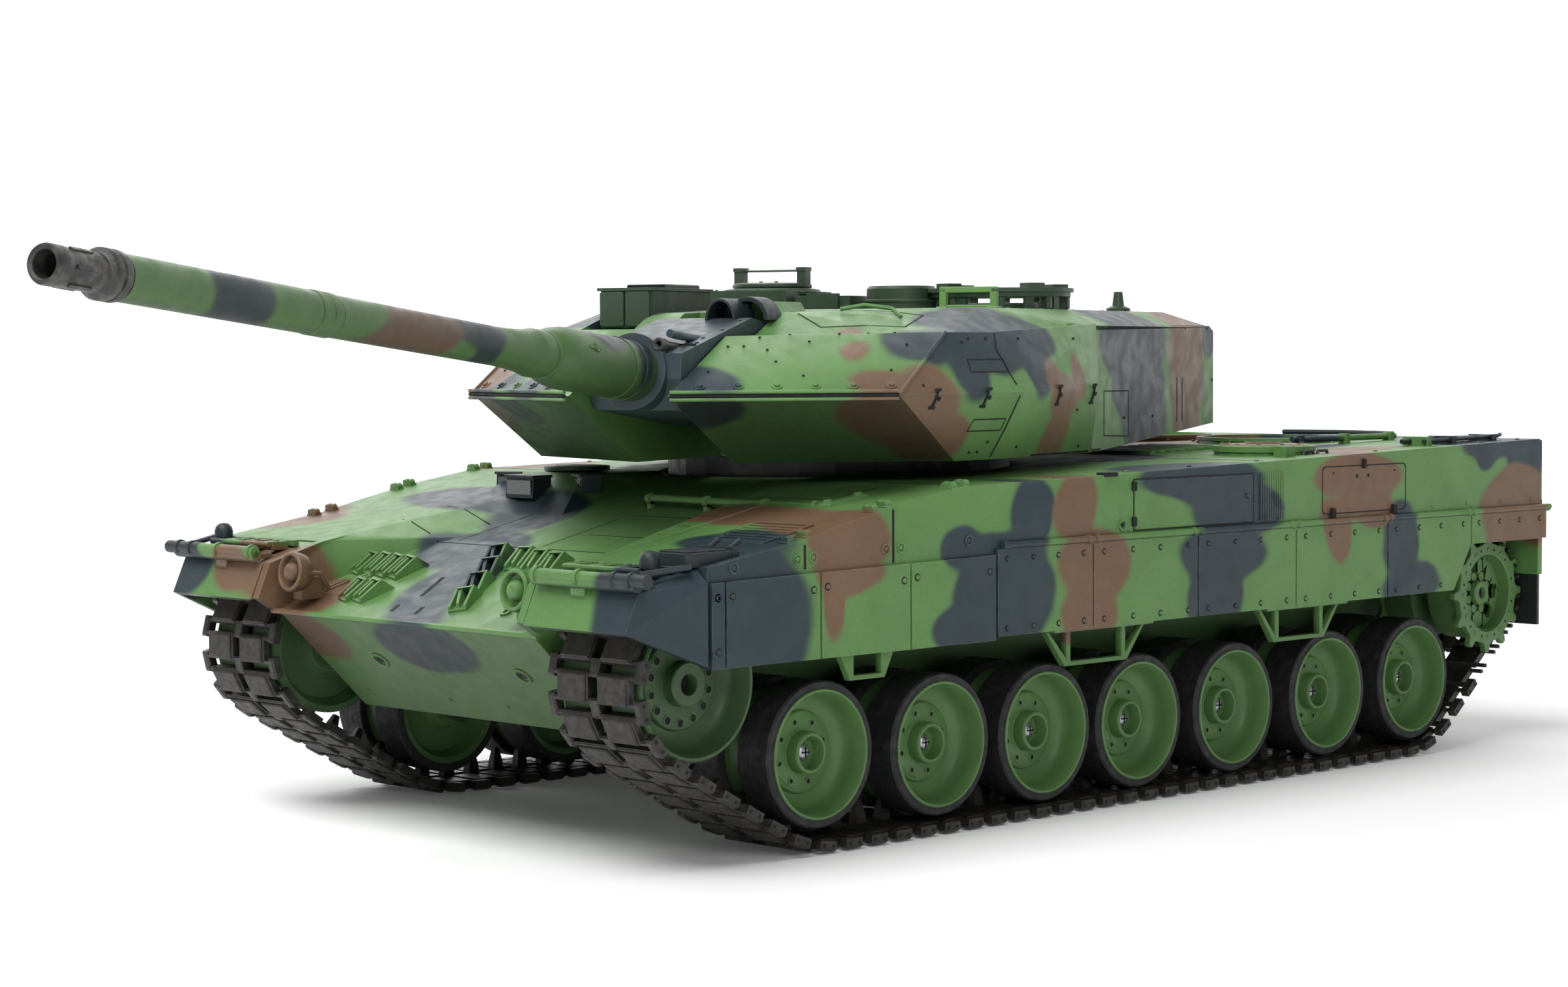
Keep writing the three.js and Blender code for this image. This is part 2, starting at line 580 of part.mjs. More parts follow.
function loaderRail() {
  const profile = [[20.4, 164.4], [24.4, 164.4], [24.4, 166.8], [20.4, 166.8], [20.4, 164.4]];
  let body = turnZ(profile, LOADER.x, LOADER.y, 18);
  const posts = 8;
  for (let i = 0; i < posts; i += 1) {
    const angle = (2 * Math.PI * (i + 0.5)) / posts;
    const x = LOADER.x + 22.4 * Math.cos(angle);
    const y = LOADER.y + 22.4 * Math.sin(angle);
    body = body.add(rodZ(1.5, ROOF_Z + GAP, 165, x, y, 6));
  }
  return body;
}
place(turret, 'loader_rail', loaderRail(), paint.dark);
place(turret, 'panoramic_sight', turnZ(
  [[0, ROOF_Z + GAP], [10, ROOF_Z + GAP], [10, 163.6], [9.2, 164.2], [9.2, 168.4], [8, 169.2], [0, 169.2]],
  -14, 90, 24), paint.dark);

// ---- gun ----------------------------------------------------------------------------------
// The gun's own frame has its origin at the trunnion and its bore along -Y.
function mantlet() {
  const half = GUN_SLOT - 0.6;
  const outline = [
    [-47, -11], [-53, -2], [-53, 5.4], [-44, 8.4], [-8, 20.6], [6, 20], [12, 8], [12, -8], [4, -12],
  ];
  const block = prismX(outline, -half, half);
  const coax = solid(new THREE.CylinderGeometry(1.3, 1.3, 24, 10));
  return join(block, coax.translate([10.2, -38, 11.6]));
}

function barrel() {
  const profile = [
    [BORE_R, 57], [9, 53.6], [9, 96], [8.2, 103], [6.9, 106], [6.9, 114], [6.1, 118], [5.4, 132],
    [5.45, 212], [5.75, 213], [5.75, 221], [5.55, 222], [5.6, 297], [6, 297.5], [6, 303], [4.6, 304],
    [4.6, MUZZLE], [BORE_R, MUZZLE], [BORE_R, 57],
  ];
  const geometry = new THREE.LatheGeometry(profile.map(([r, d]) => new THREE.Vector2(r, d)), 16);
  geometry.rotateZ(Math.PI);
  return solid(geometry);
}
place(gun, 'mantlet', mantlet(), paint.grey);
place(gun, 'barrel', barrel(), paint.green);

// ---- stand the tank on z = 0 with the middle of its box over the origin --------------------
tank.updateMatrixWorld(true);
const bounds = new THREE.Box3().setFromObject(tank, true);
hullGroup.position.set(-(bounds.min.x + bounds.max.x) / 2, -(bounds.min.y + bounds.max.y) / 2, -bounds.min.z);
tank.updateMatrixWorld(true);

export default tank;
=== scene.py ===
"""Looks of a radio-controlled battle tank: shells, tracks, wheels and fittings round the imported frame.

Shapes are given in millimetres in the own frame of the part that carries them (hull, turret or gun).
A part's matrix takes them into the row frame, which is in metres.
"""
import json
import math

import bmesh
import bpy
from mathutils import Matrix, Vector
from mathutils.bvhtree import BVHTree

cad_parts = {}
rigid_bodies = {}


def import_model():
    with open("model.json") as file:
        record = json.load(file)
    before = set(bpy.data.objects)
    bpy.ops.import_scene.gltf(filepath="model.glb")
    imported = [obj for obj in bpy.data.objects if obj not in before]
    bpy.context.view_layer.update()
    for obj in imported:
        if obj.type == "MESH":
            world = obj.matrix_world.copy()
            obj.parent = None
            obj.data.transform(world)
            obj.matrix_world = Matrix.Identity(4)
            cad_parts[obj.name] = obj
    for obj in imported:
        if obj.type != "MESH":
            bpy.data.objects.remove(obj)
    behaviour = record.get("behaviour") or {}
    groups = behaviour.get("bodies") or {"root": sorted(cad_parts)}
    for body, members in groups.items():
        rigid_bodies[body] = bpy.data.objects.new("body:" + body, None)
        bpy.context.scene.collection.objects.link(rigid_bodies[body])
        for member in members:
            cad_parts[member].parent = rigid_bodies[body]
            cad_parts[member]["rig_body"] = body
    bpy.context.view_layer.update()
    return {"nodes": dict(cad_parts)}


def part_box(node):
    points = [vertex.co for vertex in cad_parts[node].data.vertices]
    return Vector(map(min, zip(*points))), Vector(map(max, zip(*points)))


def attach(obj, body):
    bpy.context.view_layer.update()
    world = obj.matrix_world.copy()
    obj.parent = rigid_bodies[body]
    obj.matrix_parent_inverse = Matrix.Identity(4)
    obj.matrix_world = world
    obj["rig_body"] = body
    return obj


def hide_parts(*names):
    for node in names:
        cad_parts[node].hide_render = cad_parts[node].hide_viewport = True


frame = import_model()

# ---- places -------------------------------------------------------------------------------
MM = 0.001
REAR_Y = 241                     # back of the rear plate in the hull's own frame
TURRET_Y = -13.8                 # the turret's turning centre
TURRET_YAW = math.radians(19.9)
TRUNNION = (0, -92, 135.5)
GUN_ELEVATION = math.radians(5.5)


def move(x, y, z):
    return Matrix.Translation((x, y, z))


def turned(degrees, axis):
    return Matrix.Rotation(math.radians(degrees), 4, axis)


def polar(r, angle):
    return (r * math.cos(angle), r * math.sin(angle))


def turns(count, start=0.0):
    """Evenly spaced angles round a circle."""
    return [start + math.tau * i / count for i in range(count)]


def hull_origin():
    """The hull frame's origin in the row frame, from the skirts and the rear plate."""
    middle = (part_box("left_skirt")[1].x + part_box("right_skirt")[0].x) / 2
    return Vector((middle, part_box("rear_plate")[1].y - REAR_Y * MM, 0))


HULL = Matrix.Translation(hull_origin()) @ Matrix.Scale(MM, 4)
TURRET = HULL @ move(0, TURRET_Y, 0) @ Matrix.Rotation(TURRET_YAW, 4, "Z")
GUN = TURRET @ Matrix.Translation(TRUNNION) @ Matrix.Rotation(-GUN_ELEVATION, 4, "X")
MIRROR = Matrix.Scale(-1, 4, (1, 0, 0))
SIDES = (("left", HULL), ("right", HULL @ MIRROR))

# Local Z turned to run along +X, and (outline x, outline y, depth) turned to (y, z, x).
ALONG_X = turned(90, "Y")
YZ = Matrix(((0, 0, 1, 0), (1, 0, 0, 0), (0, 1, 0, 0), (0, 0, 0, 1)))
# (outline x, outline y, depth) turned to (x, z, -y), for shapes seen from the front.
XZ = Matrix(((1, 0, 0, 0), (0, 0, -1, 0), (0, 1, 0, 0), (0, 0, 0, 1)))


# ---- materials ----------------------------------------------------------------------------
def srgb(r, g, b):
    """An 0-255 screen colour as the linear colour that a shader takes."""
    def linear(c):
        c /= 255
        return c / 12.92 if c <= 0.04045 else ((c + 0.055) / 1.055) ** 2.4
    return (linear(r), linear(g), linear(b), 1.0)


class Finish:
    """A node material under construction, on the object's own coordinates in millimetres."""

    def __init__(self, name, roughness, metallic=0.0):
        self.material = bpy.data.materials.new(name)
        self.material.use_nodes = True
        self.tree = self.material.node_tree
        self.shader = self.tree.nodes["Principled BSDF"]
        self.shader.inputs["Roughness"].default_value = roughness
        self.shader.inputs["Metallic"].default_value = metallic
        self.position = self.node("ShaderNodeTexCoord").outputs["Object"]

    def node(self, kind, inputs=None, **settings):
        made = self.tree.nodes.new(kind)
        for key, value in settings.items():
            setattr(made, key, value)
        for key, value in (inputs or {}).items():
            if isinstance(value, bpy.types.NodeSocket):
                self.tree.links.new(value, made.inputs[key])
            else:
                made.inputs[key].default_value = value
        return made

    def into(self, place):
        """The object's coordinates in the millimetres of a part's own frame."""
        spot, turn, _ = place.decompose()
        return self.node("ShaderNodeMapping", {
            "Vector": self.position, "Location": spot, "Rotation": turn.to_euler(), "Scale": (MM, MM, MM),
        }, vector_type="TEXTURE").outputs["Vector"]

    def noise(self, size, detail=2.0, output="Fac", vector=None):
        """Noise whose features are about size millimetres."""
        vector = vector or self.into(HULL)
        made = self.node("ShaderNodeTexNoise", {"Vector": vector, "Scale": 1.0 / size, "Detail": detail})
        return made.outputs[output]

    def math(self, operation, *values):
        return self.node("ShaderNodeMath", dict(enumerate(values)), operation=operation).outputs[0]

    def mix(self, fac, a, b):
        return self.node("ShaderNodeMix", {0: fac, 6: a, 7: b}, data_type="RGBA").outputs[2]

    def ramp(self, value, low, high, to_low=0.0, to_high=1.0):
        return self.node("ShaderNodeMapRange", {
            "Value": value, "From Min": low, "From Max": high, "To Min": to_low, "To Max": to_high,
        }, interpolation_type="SMOOTHSTEP").outputs["Result"]

    def vary(self, colour, size, share):
        """The colour made a little lighter and darker in patches of a size."""
        scale = self.ramp(self.noise(size, 4.0), 0.25, 0.75, 1 - share, 1 + share)
        if isinstance(colour, tuple):
            colour = colour[:3]
        return self.node("ShaderNodeVectorMath", {0: colour, "Scale": scale}, operation="SCALE").outputs[0]

    def edge_wear(self, colour, lighter, amount):
        """A thin worn line where two faces meet, broken up by noise."""
        bent = self.node("ShaderNodeBevel", {"Radius": 0.45 * MM}, samples=4).outputs["Normal"]
        flat = self.node("ShaderNodeNewGeometry").outputs["Normal"]
        both = self.node("ShaderNodeVectorMath", {0: bent, 1: flat}, operation="DOT_PRODUCT")
        at_edge = self.ramp(both.outputs["Value"], 0.97, 0.8, 0, 1)
        worn = self.math("MULTIPLY", at_edge, self.ramp(self.noise(5.0), 0.35, 0.6))
        return self.mix(self.math("MULTIPLY", worn, amount), colour, lighter)

    def grime_and_painted_shade(self, colour, vector):
        """Painted shade on faces that look down, and a darkening low on the hull for road dirt and painted
        shade.
        """
        facing = self.node("ShaderNodeNewGeometry").outputs["Normal"]
        down = self.node("ShaderNodeSeparateXYZ", {0: facing}).outputs["Z"]
        height = self.node("ShaderNodeSeparateXYZ", {0: vector}).outputs["Z"]
        # painted shade: faces that look down are darkened towards near black
        under = self.ramp(down, -0.3, -0.95, 0.0, 0.7)
        # darker low on the hull, as road dirt and painted shade
        low = self.ramp(height, 62.0, 34.0, 0.0, 0.5)
        share = self.math("MAXIMUM", under, low)
        return self.mix(share, colour, srgb(22, 26, 22))

    def bump(self, height, distance, strength=1.0):
        made = self.node("ShaderNodeBump", {
            "Height": height, "Distance": distance * MM, "Strength": strength,
        })
        self.tree.links.new(made.outputs["Normal"], self.shader.inputs["Normal"])

    def rough(self, size, low, high):
        value = self.ramp(self.noise(size, 3.0), 0.3, 0.7, low, high)
        self.tree.links.new(value, self.shader.inputs["Roughness"])

    def paint(self, colour):
        self.tree.links.new(colour, self.shader.inputs["Base Color"])
        return self.material


GREEN = srgb(88, 128, 70)
NAVY = srgb(38, 53, 60)
BROWN = srgb(108, 83, 62)

# Camouflage patches: centre x, y, z, half sizes along x, y, z, and a tilt about X in degrees.
SIDE_NAVY = [
    (117, -60, 72, 30, 23, 17, 0), (117, -80, 64, 30, 12, 7, 0), (117, -77, 88, 24, 11, 7, 0),
    (112, -46, 98, 26, 11, 12, 0), (117, -58, 85, 24, 17, 8, 0),
    (112, 36, 104, 26, 34, 8, 0), (117, 56, 94, 24, 26, 9, 0), (117, 46, 80, 26, 25, 10, 0),
    (117, 42, 66, 24, 16, 14, 0),
    (117, 147, 88, 12, 10, 7, 0), (117, 148, 78, 22, 11, 11, 0), (117, 154, 63, 22, 18, 9, 0),
    (110, 214, 112, 36, 30, 7, 0), (116, 229, 105, 20, 13, 9, 0), (116, 204, 108, 20, 8, 7, 0),
]
SIDE_BROWN = [
    (112, -126, 93, 30, 18, 11, 0), (117, -128, 82, 22, 15, 7, 0), (117, -135, 75, 22, 5, 12, 0),
    (117, -26, 99, 24, 11, 13, 0), (117, -19, 79, 22, 18, 11, 0), (117, -22, 64, 22, 14, 9, 0),
    (112, 124, 103, 28, 27, 8, 0), (117, 128, 93, 24, 17, 8, 0), (117, 109, 84, 22, 8, 13, 20),
    (117, 219, 87, 22, 22, 13, 0), (117, 224, 76, 22, 24, 9, 0), (117, 226, 96, 22, 14, 8, 0),
]
HULL_NAVY = [
    # bow and front roof
    (112, -182, 70, 22, 40, 30, 0), (112, -194, 80, 20, 22, 14, 0), (95, -152, 92, 22, 14, 8, 0),
    (-24, -154, 85, 24, 16, 12, 0), (-6, -176, 76, 18, 22, 14, 0), (2, -192, 59, 23, 14, 14, 0),
    (-28, -125, 95, 16, 22, 9, 0), (-66, -120, 98, 34, 16, 8, 0), (-108, -196, 78, 16, 20, 12, 0),
    # rear roof and rear plate
    (52, 66, 108, 20, 26, 9, 0), (30, 84, 110, 22, 12, 9, 0), (-60, 110, 110, 20, 34, 9, 0),
    (-42, 132, 110, 24, 14, 9, 0), (30, 226, 112, 40, 16, 10, 0), (8, 212, 112, 14, 18, 9, 0),
    (70, 150, 112, 10, 30, 8, 0), (-40, 241, 90, 24, 14, 14, 0), (-20, 241, 74, 22, 14, 14, 0),
    (70, 241, 66, 20, 14, 18, 0), (84, 241, 84, 12, 14, 12, 0),
]
HULL_BROWN = [
    (70, -124, 97, 38, 11, 7, 0), (-60, -194, 74, 20, 16, 15, 0), (-55, -190, 58, 16, 12, 10, 0),
    (-80, -198, 80, 13, 16, 10, 0),
    (84, 112, 116, 18, 18, 8, 0), (96, 150, 112, 12, 24, 6, 0), (-20, -60, 104, 26, 18, 8, 0),
    (0, 160, 112, 18, 26, 9, 0), (-18, 182, 112, 16, 22, 9, 0), (14, 190, 112, 20, 12, 9, 0),
    (20, 241, 98, 26, 14, 12, 0), (36, 241, 84, 14, 14, 12, 0),
]
TURRET_SIDE_NAVY = [
    (80, -77, 141, 16, 9, 11, 0), (80, -62, 148, 18, 24, 9, 0), (86, -39, 141, 16, 8, 12, 0),
    (80, -34, 151, 20, 17, 8, 0), (66, -50, 156, 14, 28, 5, 0),
    (83, 64, 149, 24, 36, 12, 0), (83, 70, 136, 22, 28, 14, 0), (83, 75, 122, 22, 24, 14, 0),
    (83, 148, 154, 22, 9, 12, 0), (66, 62, 158, 26, 32, 7, 0), (34, 74, 160, 18, 20, 7, 0),
]
TURRET_SIDE_BROWN = [
    (76, -98, 130, 18, 15, 13, 0), (76, -86, 119, 18, 14, 9, 0),
    (88, -21, 131, 12, 12, 9, 0), (88, -30, 138, 12, 6, 6, 0), (88, -7, 138, 12, 5, 9, 0),
    (86, -20, 118, 12, 9, 10, 0), (83, 121, 140, 24, 20, 34, 0), (44, 118, 160, 30, 14, 7, 0),
    (24, 130, 160, 16, 20, 7, 0),
]
TURRET_NAVY = [
    (20, -142, 138, 15, 10, 7, 0), (20, -140, 128, 15, 13, 7, 0), (68, -90, 148, 13, 13, 9, 0),
    (-40, -138, 140, 15, 18, 9, 0), (-62, -118, 130, 18, 12, 12, 0), (-6, 152, 140, 26, 14, 11, 0),
    (10, 152, 130, 18, 14, 11, 0), (-8, 20, 160, 22, 14, 6, 0),
]
TURRET_BROWN = [
    (64, -113, 137, 9, 8, 6, 0), (53, -104, 146, 4, 7, 5, 0), (45, -90, 152, 6, 8, 4, 0),
    (68, -110, 124, 17, 22, 13, 0), (-30, -30, 160, 24, 16, 7, 0), (-12, -40, 160, 16, 10, 7, 0),
]
GUN_NAVY = [
    (0, -254, 0, 14, 14, 14, 0), (2, -150, 4, 14, 17, 6, 0), (0, -142, 0, 12, 7, 12, 0),
    (0, -78, 8, 12, 14, 5, 0), (0, -60, 4, 16, 5, 14, 0),
]
GUN_BROWN = [
    (0, -179, -2, 14, 25, 7, 10), (0, -180, 2, 12, 15, 7, 0),
]


PATCH_BLEND = 8.0                # how softly neighbouring patches run together
PATCH_EDGE = (1.2, -2.2)         # the airbrushed edge: where the paint starts and where it is full
WANDER = 9.0                     # how far noise pushes a patch's outline about


def patches(finish, *groups):
    """1 inside the union of the patches and 0 outside, with the soft edge of an airbrush."""
    reach = None
    for vector, ellipsoids in groups:
        for x, y, z, rx, ry, rz, tilt in ellipsoids:
            size = (rx * ry * rz) ** (1 / 3)
            inside = finish.node("ShaderNodeMapping", {
                "Vector": vector, "Location": (x, y, z),
                "Rotation": (math.radians(tilt), 0, 0), "Scale": (rx, ry, rz),
            }, vector_type="TEXTURE").outputs["Vector"]
            length = finish.node("ShaderNodeVectorMath", {0: inside}, operation="LENGTH").outputs["Value"]
            far = finish.math("MULTIPLY_ADD", length, size, -size)
            reach = far if reach is None else finish.math("SMOOTH_MIN", reach, far, PATCH_BLEND)
    return finish.ramp(reach, *PATCH_EDGE)


def half_turned(finish, vector, middle):
    """The far side's points turned half round about the middle, to share the near side's patches."""
    parts = finish.node("ShaderNodeSeparateXYZ", {0: vector}).outputs
    hand = finish.math("SIGN", parts["X"])
    y = finish.math("MULTIPLY_ADD", hand, finish.math("SUBTRACT", parts["Y"], middle), middle)
    return finish.node("ShaderNodeCombineXYZ", {
        "X": finish.math("ABSOLUTE", parts["X"]), "Y": y, "Z": parts["Z"],
    }).outputs["Vector"]


def camouflage(name, place, middle, side_navy, side_brown, navy, brown):
    """Three-colour camouflage, laid over a part in that part's own frame."""
    finish = Finish(name, 0.55)
    finish.shader.inputs["Specular IOR Level"].default_value = 0.4
    spot = finish.into(place)
    wander = finish.noise(30.0, 1.5, "Color", spot)
    pushed = finish.node("ShaderNodeVectorMath", {
        0: wander, 1: (WANDER, WANDER, WANDER), 2: spot,
    }, operation="MULTIPLY_ADD").outputs[0]
    half = (WANDER / 2, WANDER / 2, WANDER / 2)
    steady = finish.node("ShaderNodeVectorMath", {0: pushed, 1: half}, operation="SUBTRACT").outputs[0]
    sides = half_turned(finish, steady, middle)
    colour = finish.mix(patches(finish, (sides, side_navy), (steady, navy)), GREEN, NAVY)
    colour = finish.mix(patches(finish, (sides, side_brown), (steady, brown)), colour, BROWN)
    colour = finish.vary(colour, 18.0, 0.07)
    colour = finish.vary(colour, 1.1, 0.05)
    colour = finish.edge_wear(colour, srgb(150, 165, 140), 0.35)
    # painted shade on downward faces, and road dirt with painted shade low on the hull
    colour = finish.grime_and_painted_shade(colour, spot)
    finish.rough(6.0, 0.42, 0.56)
    finish.bump(finish.noise(0.35, 3.0), 0.03, 0.5)
    return finish.paint(colour)


def painted(name, colour, roughness, wear=None, metallic=0.0):
    """Plain paint or moulded plastic with a fine grain, slight mottling and worn edges."""
    finish = Finish(name, roughness, metallic)
    mottled = finish.vary(finish.vary(colour, 12.0, 0.08), 1.0, 0.04)
    if wear:
        mottled = finish.edge_wear(mottled, wear, 0.5)
    finish.rough(4.0, roughness - 0.06, roughness + 0.08)
    finish.bump(finish.noise(0.35, 3.0), 0.04, 0.5)
    return finish.paint(mottled)


def dusty_rubber(name, colour, dust, roughness):
    """Rubber or blackened metal with dust lying in blotches."""
    finish = Finish(name, roughness)
    mask = finish.ramp(finish.noise(3.0, 6.0), 0.42, 0.68)
    mixed = finish.mix(mask, colour, dust)
    finish.rough(2.0, roughness - 0.1, roughness + 0.1)
    finish.bump(finish.noise(0.5, 4.0), 0.09, 0.8)
    return finish.paint(finish.vary(mixed, 0.8, 0.18))


def glass(name):
    """Dark glass of a periscope or sight window."""
    finish = Finish(name, 0.08)
    finish.shader.inputs["Coat Weight"].default_value = 0.6
    finish.rough(5.0, 0.04, 0.14)
    return finish.paint(finish.vary(srgb(22, 28, 34), 8.0, 0.3))


CAMO_HULL = camouflage("camo_hull", HULL, 34, SIDE_NAVY, SIDE_BROWN, HULL_NAVY, HULL_BROWN)
CAMO_TURRET = camouflage(
    "camo_turret", TURRET, 8, TURRET_SIDE_NAVY, TURRET_SIDE_BROWN, TURRET_NAVY, TURRET_BROWN,
)
CAMO_GUN = camouflage("camo_gun", GUN, -150, [], [], GUN_NAVY, GUN_BROWN)
DARK_GREEN = painted("dark_green", srgb(48, 68, 50), 0.5, wear=srgb(104, 122, 100))
BLUE_GREY = painted("blue_grey", srgb(50, 63, 70), 0.5, wear=srgb(116, 128, 134))
DARK_NAVY = painted("dark_navy", srgb(34, 42, 46), 0.5, wear=srgb(110, 118, 124))
LIGHT_GREEN = painted("light_green", srgb(106, 144, 82), 0.55, wear=srgb(150, 175, 130))
# the idler's green is the wheel green darkened as painted shade, for the deep shade the idler sits in
IDLER_GREEN_SHADED = painted("idler_green_painted_shade", srgb(58, 84, 50), 0.5, wear=srgb(120, 150, 104))
WHEEL_GREEN = painted("wheel_green", srgb(84, 120, 68), 0.5, wear=srgb(130, 160, 110))
TYRE = dusty_rubber("tyre", srgb(26, 28, 28), srgb(42, 43, 42), 0.65)
TRACK = dusty_rubber("track_metal", srgb(30, 29, 27), srgb(50, 46, 42), 0.5)
PAD = dusty_rubber("track_pad", srgb(38, 36, 34), srgb(56, 52, 48), 0.6)
GUN_METAL = dusty_rubber("gun_metal", srgb(40, 41, 40), srgb(72, 70, 66), 0.5)
STEEL = painted("steel", srgb(176, 178, 180), 0.32, metallic=0.9)
PLASTIC = painted("black_plastic", srgb(26, 27, 29), 0.5)
# near black for joint lines, and for painted shade in holes, recesses, slots and gaps between slats
SEAM_AND_SHADE = painted("seam_shadow", srgb(12, 14, 14), 0.8)
BOARD = painted("circuit_board", srgb(30, 92, 52), 0.45)
WRAP = painted("battery_wrap", srgb(42, 72, 134), 0.35)
LENS = glass("lens")


# ---- mesh building ------------------------------------------------------------------------
SHARP = 38                       # edges bent by more degrees than this are bevelled and shaded sharp


class Piece:
    """A mesh built up in the millimetres of a part's own frame, with one or more finishes."""

    def __init__(self, name, place, *finishes):
        self.name = name
        self.place = place
        self.finishes = finishes
        self.bm = bmesh.new()

    def add(self, points, faces, at=None, finish=0):
        at = at or Matrix.Identity(4)
        verts = [self.bm.verts.new(at @ Vector(p)) for p in points]
        for corners in faces:
            face = self.bm.faces.new([verts[i] for i in corners])
            face.material_index = finish
            face.smooth = True

    def merge(self, mesh, at=None, finish=0):
        """Adds another mesh's points and faces."""
        points = [v.co.copy() for v in mesh.vertices]
        self.add(points, [tuple(p.vertices) for p in mesh.polygons], at, finish)

    def done(self, body, slot, *replaced, bevel=0.0, segments=2):
        bmesh.ops.transform(self.bm, matrix=self.place, verts=self.bm.verts)
        bmesh.ops.recalc_face_normals(self.bm, faces=self.bm.faces)
        mesh = bpy.data.meshes.new(self.name)
        self.bm.to_mesh(mesh)
        self.bm.free()
        mesh.set_sharp_from_angle(angle=math.radians(SHARP))
        for finish in self.finishes:
            mesh.materials.append(finish)
        piece = bpy.data.objects.new(self.name, mesh)
        bpy.context.scene.collection.objects.link(piece)
        if bevel:
            round_edges(piece, bevel, segments)
        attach(piece, body)
        if replaced:
            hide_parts(*replaced)
        return piece


def round_edges(piece, width, segments):
    """Bevels the sharp edges, as moulded plastic has."""
    bevel = piece.modifiers.new("edges", "BEVEL")
    bevel.width = width * MM
    bevel.segments = segments
    bevel.limit_method = "ANGLE"
    bevel.angle_limit = math.radians(SHARP)
    bevel.harden_normals = True
    bevel.use_clamp_overlap = True


def box(piece, x0, x1, y0, y1, z0, z1, at=None, finish=0):
    points = [(x, y, z) for z in (z0, z1) for y in (y0, y1) for x in (x0, x1)]
    faces = [(0, 2, 3, 1), (4, 5, 7, 6), (0, 1, 5, 4), (2, 6, 7, 3), (0, 4, 6, 2), (1, 3, 7, 5)]
    piece.add(points, faces, at, finish)


def slab(piece, outline, h0, h1, at=None):
    """An outline in local XY, filled from height h0 to h1."""
    n = len(outline)
    points = [(x, y, h) for h in (h0, h1) for x, y in outline]
    walls = [(i, (i + 1) % n, n + (i + 1) % n, n + i) for i in range(n)]
    piece.add(points, [tuple(range(n)), tuple(range(n, 2 * n)), *walls], at)


def lathe(piece, profile, at=None, finish=0, segments=40):
    """A turned shape about local Z, from [radius, height] points; a radius of 0 makes a pole."""
    points = []
    rings = []
    for r, h in profile:
        if r < 1e-6:
            rings.append([len(points)] * segments)
            points.append((0, 0, h))
            continue
        rings.append(list(range(len(points), len(points) + segments)))
        points += [(*polar(r, a), h) for a in turns(segments)]
    faces = []
    for a, b in zip(rings, rings[1:]):
        for i in range(segments):
            j = (i + 1) % segments
            corners = [a[i], a[j], b[j], b[i]]
            unique = list(dict.fromkeys(corners))
            if len(unique) > 2:
                faces.append(tuple(unique))
    piece.add(points, faces, at, finish)


def disc(piece, r, h0, h1, at=None, finish=0, segments=24):
    lathe(piece, [(0, h0), (r, h0), (r, h1), (0, h1)], at, finish, segments)


def ring(piece, inner, outer, h0, h1, at=None, finish=0, segments=32):
    profile = [(inner, h0), (outer, h0), (outer, h1), (inner, h1), (inner, h0)]
    lathe(piece, profile, at, finish, segments)


def tube(piece, path, r, at=None, finish=0, segments=8):
    """A round bar along points, with flat ends."""
    path = [Vector(p) for p in path]
    last = len(path) - 1
    points = []
    side = None
    for i, p in enumerate(path):
        along = (path[min(i + 1, last)] - path[max(i - 1, 0)]).normalized()
        if side is None:
            side = along.orthogonal().normalized()
        side = (side - along * side.dot(along)).normalized()
        across = along.cross(side)
        points += [p + (side * math.cos(a) + across * math.sin(a)) * r for a in turns(segments)]
    faces = []
    for start in range(0, last * segments, segments):
        for j in range(segments):
            m = (j + 1) % segments
            faces.append((start + j, start + m, start + segments + m, start + segments + j))
    faces += [tuple(range(segments)), tuple(range(last * segments, (last + 1) * segments))]
    piece.add(points, faces, at, finish)


def solid(piece, points, at=None, finish=0):
    """The convex solid round some points."""
    bm = bmesh.new()
    verts = [bm.verts.new(p) for p in points]
    made = bmesh.ops.convex_hull(bm, input=verts)
    spare = [g for g in made["geom_interior"] if isinstance(g, bmesh.types.BMVert)]
    bmesh.ops.delete(bm, geom=spare, context="VERTS")
    bmesh.ops.dissolve_limit(bm, angle_limit=math.radians(1), verts=bm.verts, edges=bm.edges)
    mesh = bpy.data.meshes.new("solid")
    bm.to_mesh(mesh)
    bm.free()
    piece.merge(mesh, at, finish)
    bpy.data.meshes.remove(mesh)


def plate(piece, outlines, h0, h1, at=None, finish=0, bevel=0.0):
    """A flat plate with holes: the first outline is its edge and the others are cut out of it."""
    curve = bpy.data.curves.new("plate", "CURVE")
    curve.dimensions = "2D"
    curve.fill_mode = "BOTH"
    curve.extrude = (h1 - h0) / 2 - bevel
    curve.bevel_depth = bevel
    curve.bevel_resolution = 1
    curve.offset = -bevel
    for outline in outlines:
        spline = curve.splines.new("POLY")
        spline.points.add(len(outline) - 1)
        for point, (x, y) in zip(spline.points, outline):
            point.co = (x, y, 0, 1)
        spline.use_cyclic_u = True
    holder = bpy.data.objects.new("plate", curve)
    mesh = holder.to_mesh()
    centre = move(0, 0, (h0 + h1) / 2)
    piece.merge(mesh, (at or Matrix.Identity(4)) @ centre, finish)
    holder.to_mesh_clear()
    bpy.data.objects.remove(holder)
    bpy.data.curves.remove(curve)


def circle(r, x=0.0, y=0.0, count=24, start=0.0):
    return [(x + r * math.cos(a), y + r * math.sin(a)) for a in turns(count, start)]


def rounded(x0, x1, y0, y1, r):
    """A rectangle's outline with round corners."""
    steps = 4
    corners = [(x1 - r, y1 - r, 0), (x0 + r, y1 - r, 90), (x0 + r, y0 + r, 180), (x1 - r, y0 + r, 270)]
    outline = []
    for x, y, start in corners:
        for i in range(steps + 1):
            across, along = polar(r, math.radians(start + 90 * i / steps))
            outline.append((x + across, y + along))
    return outline


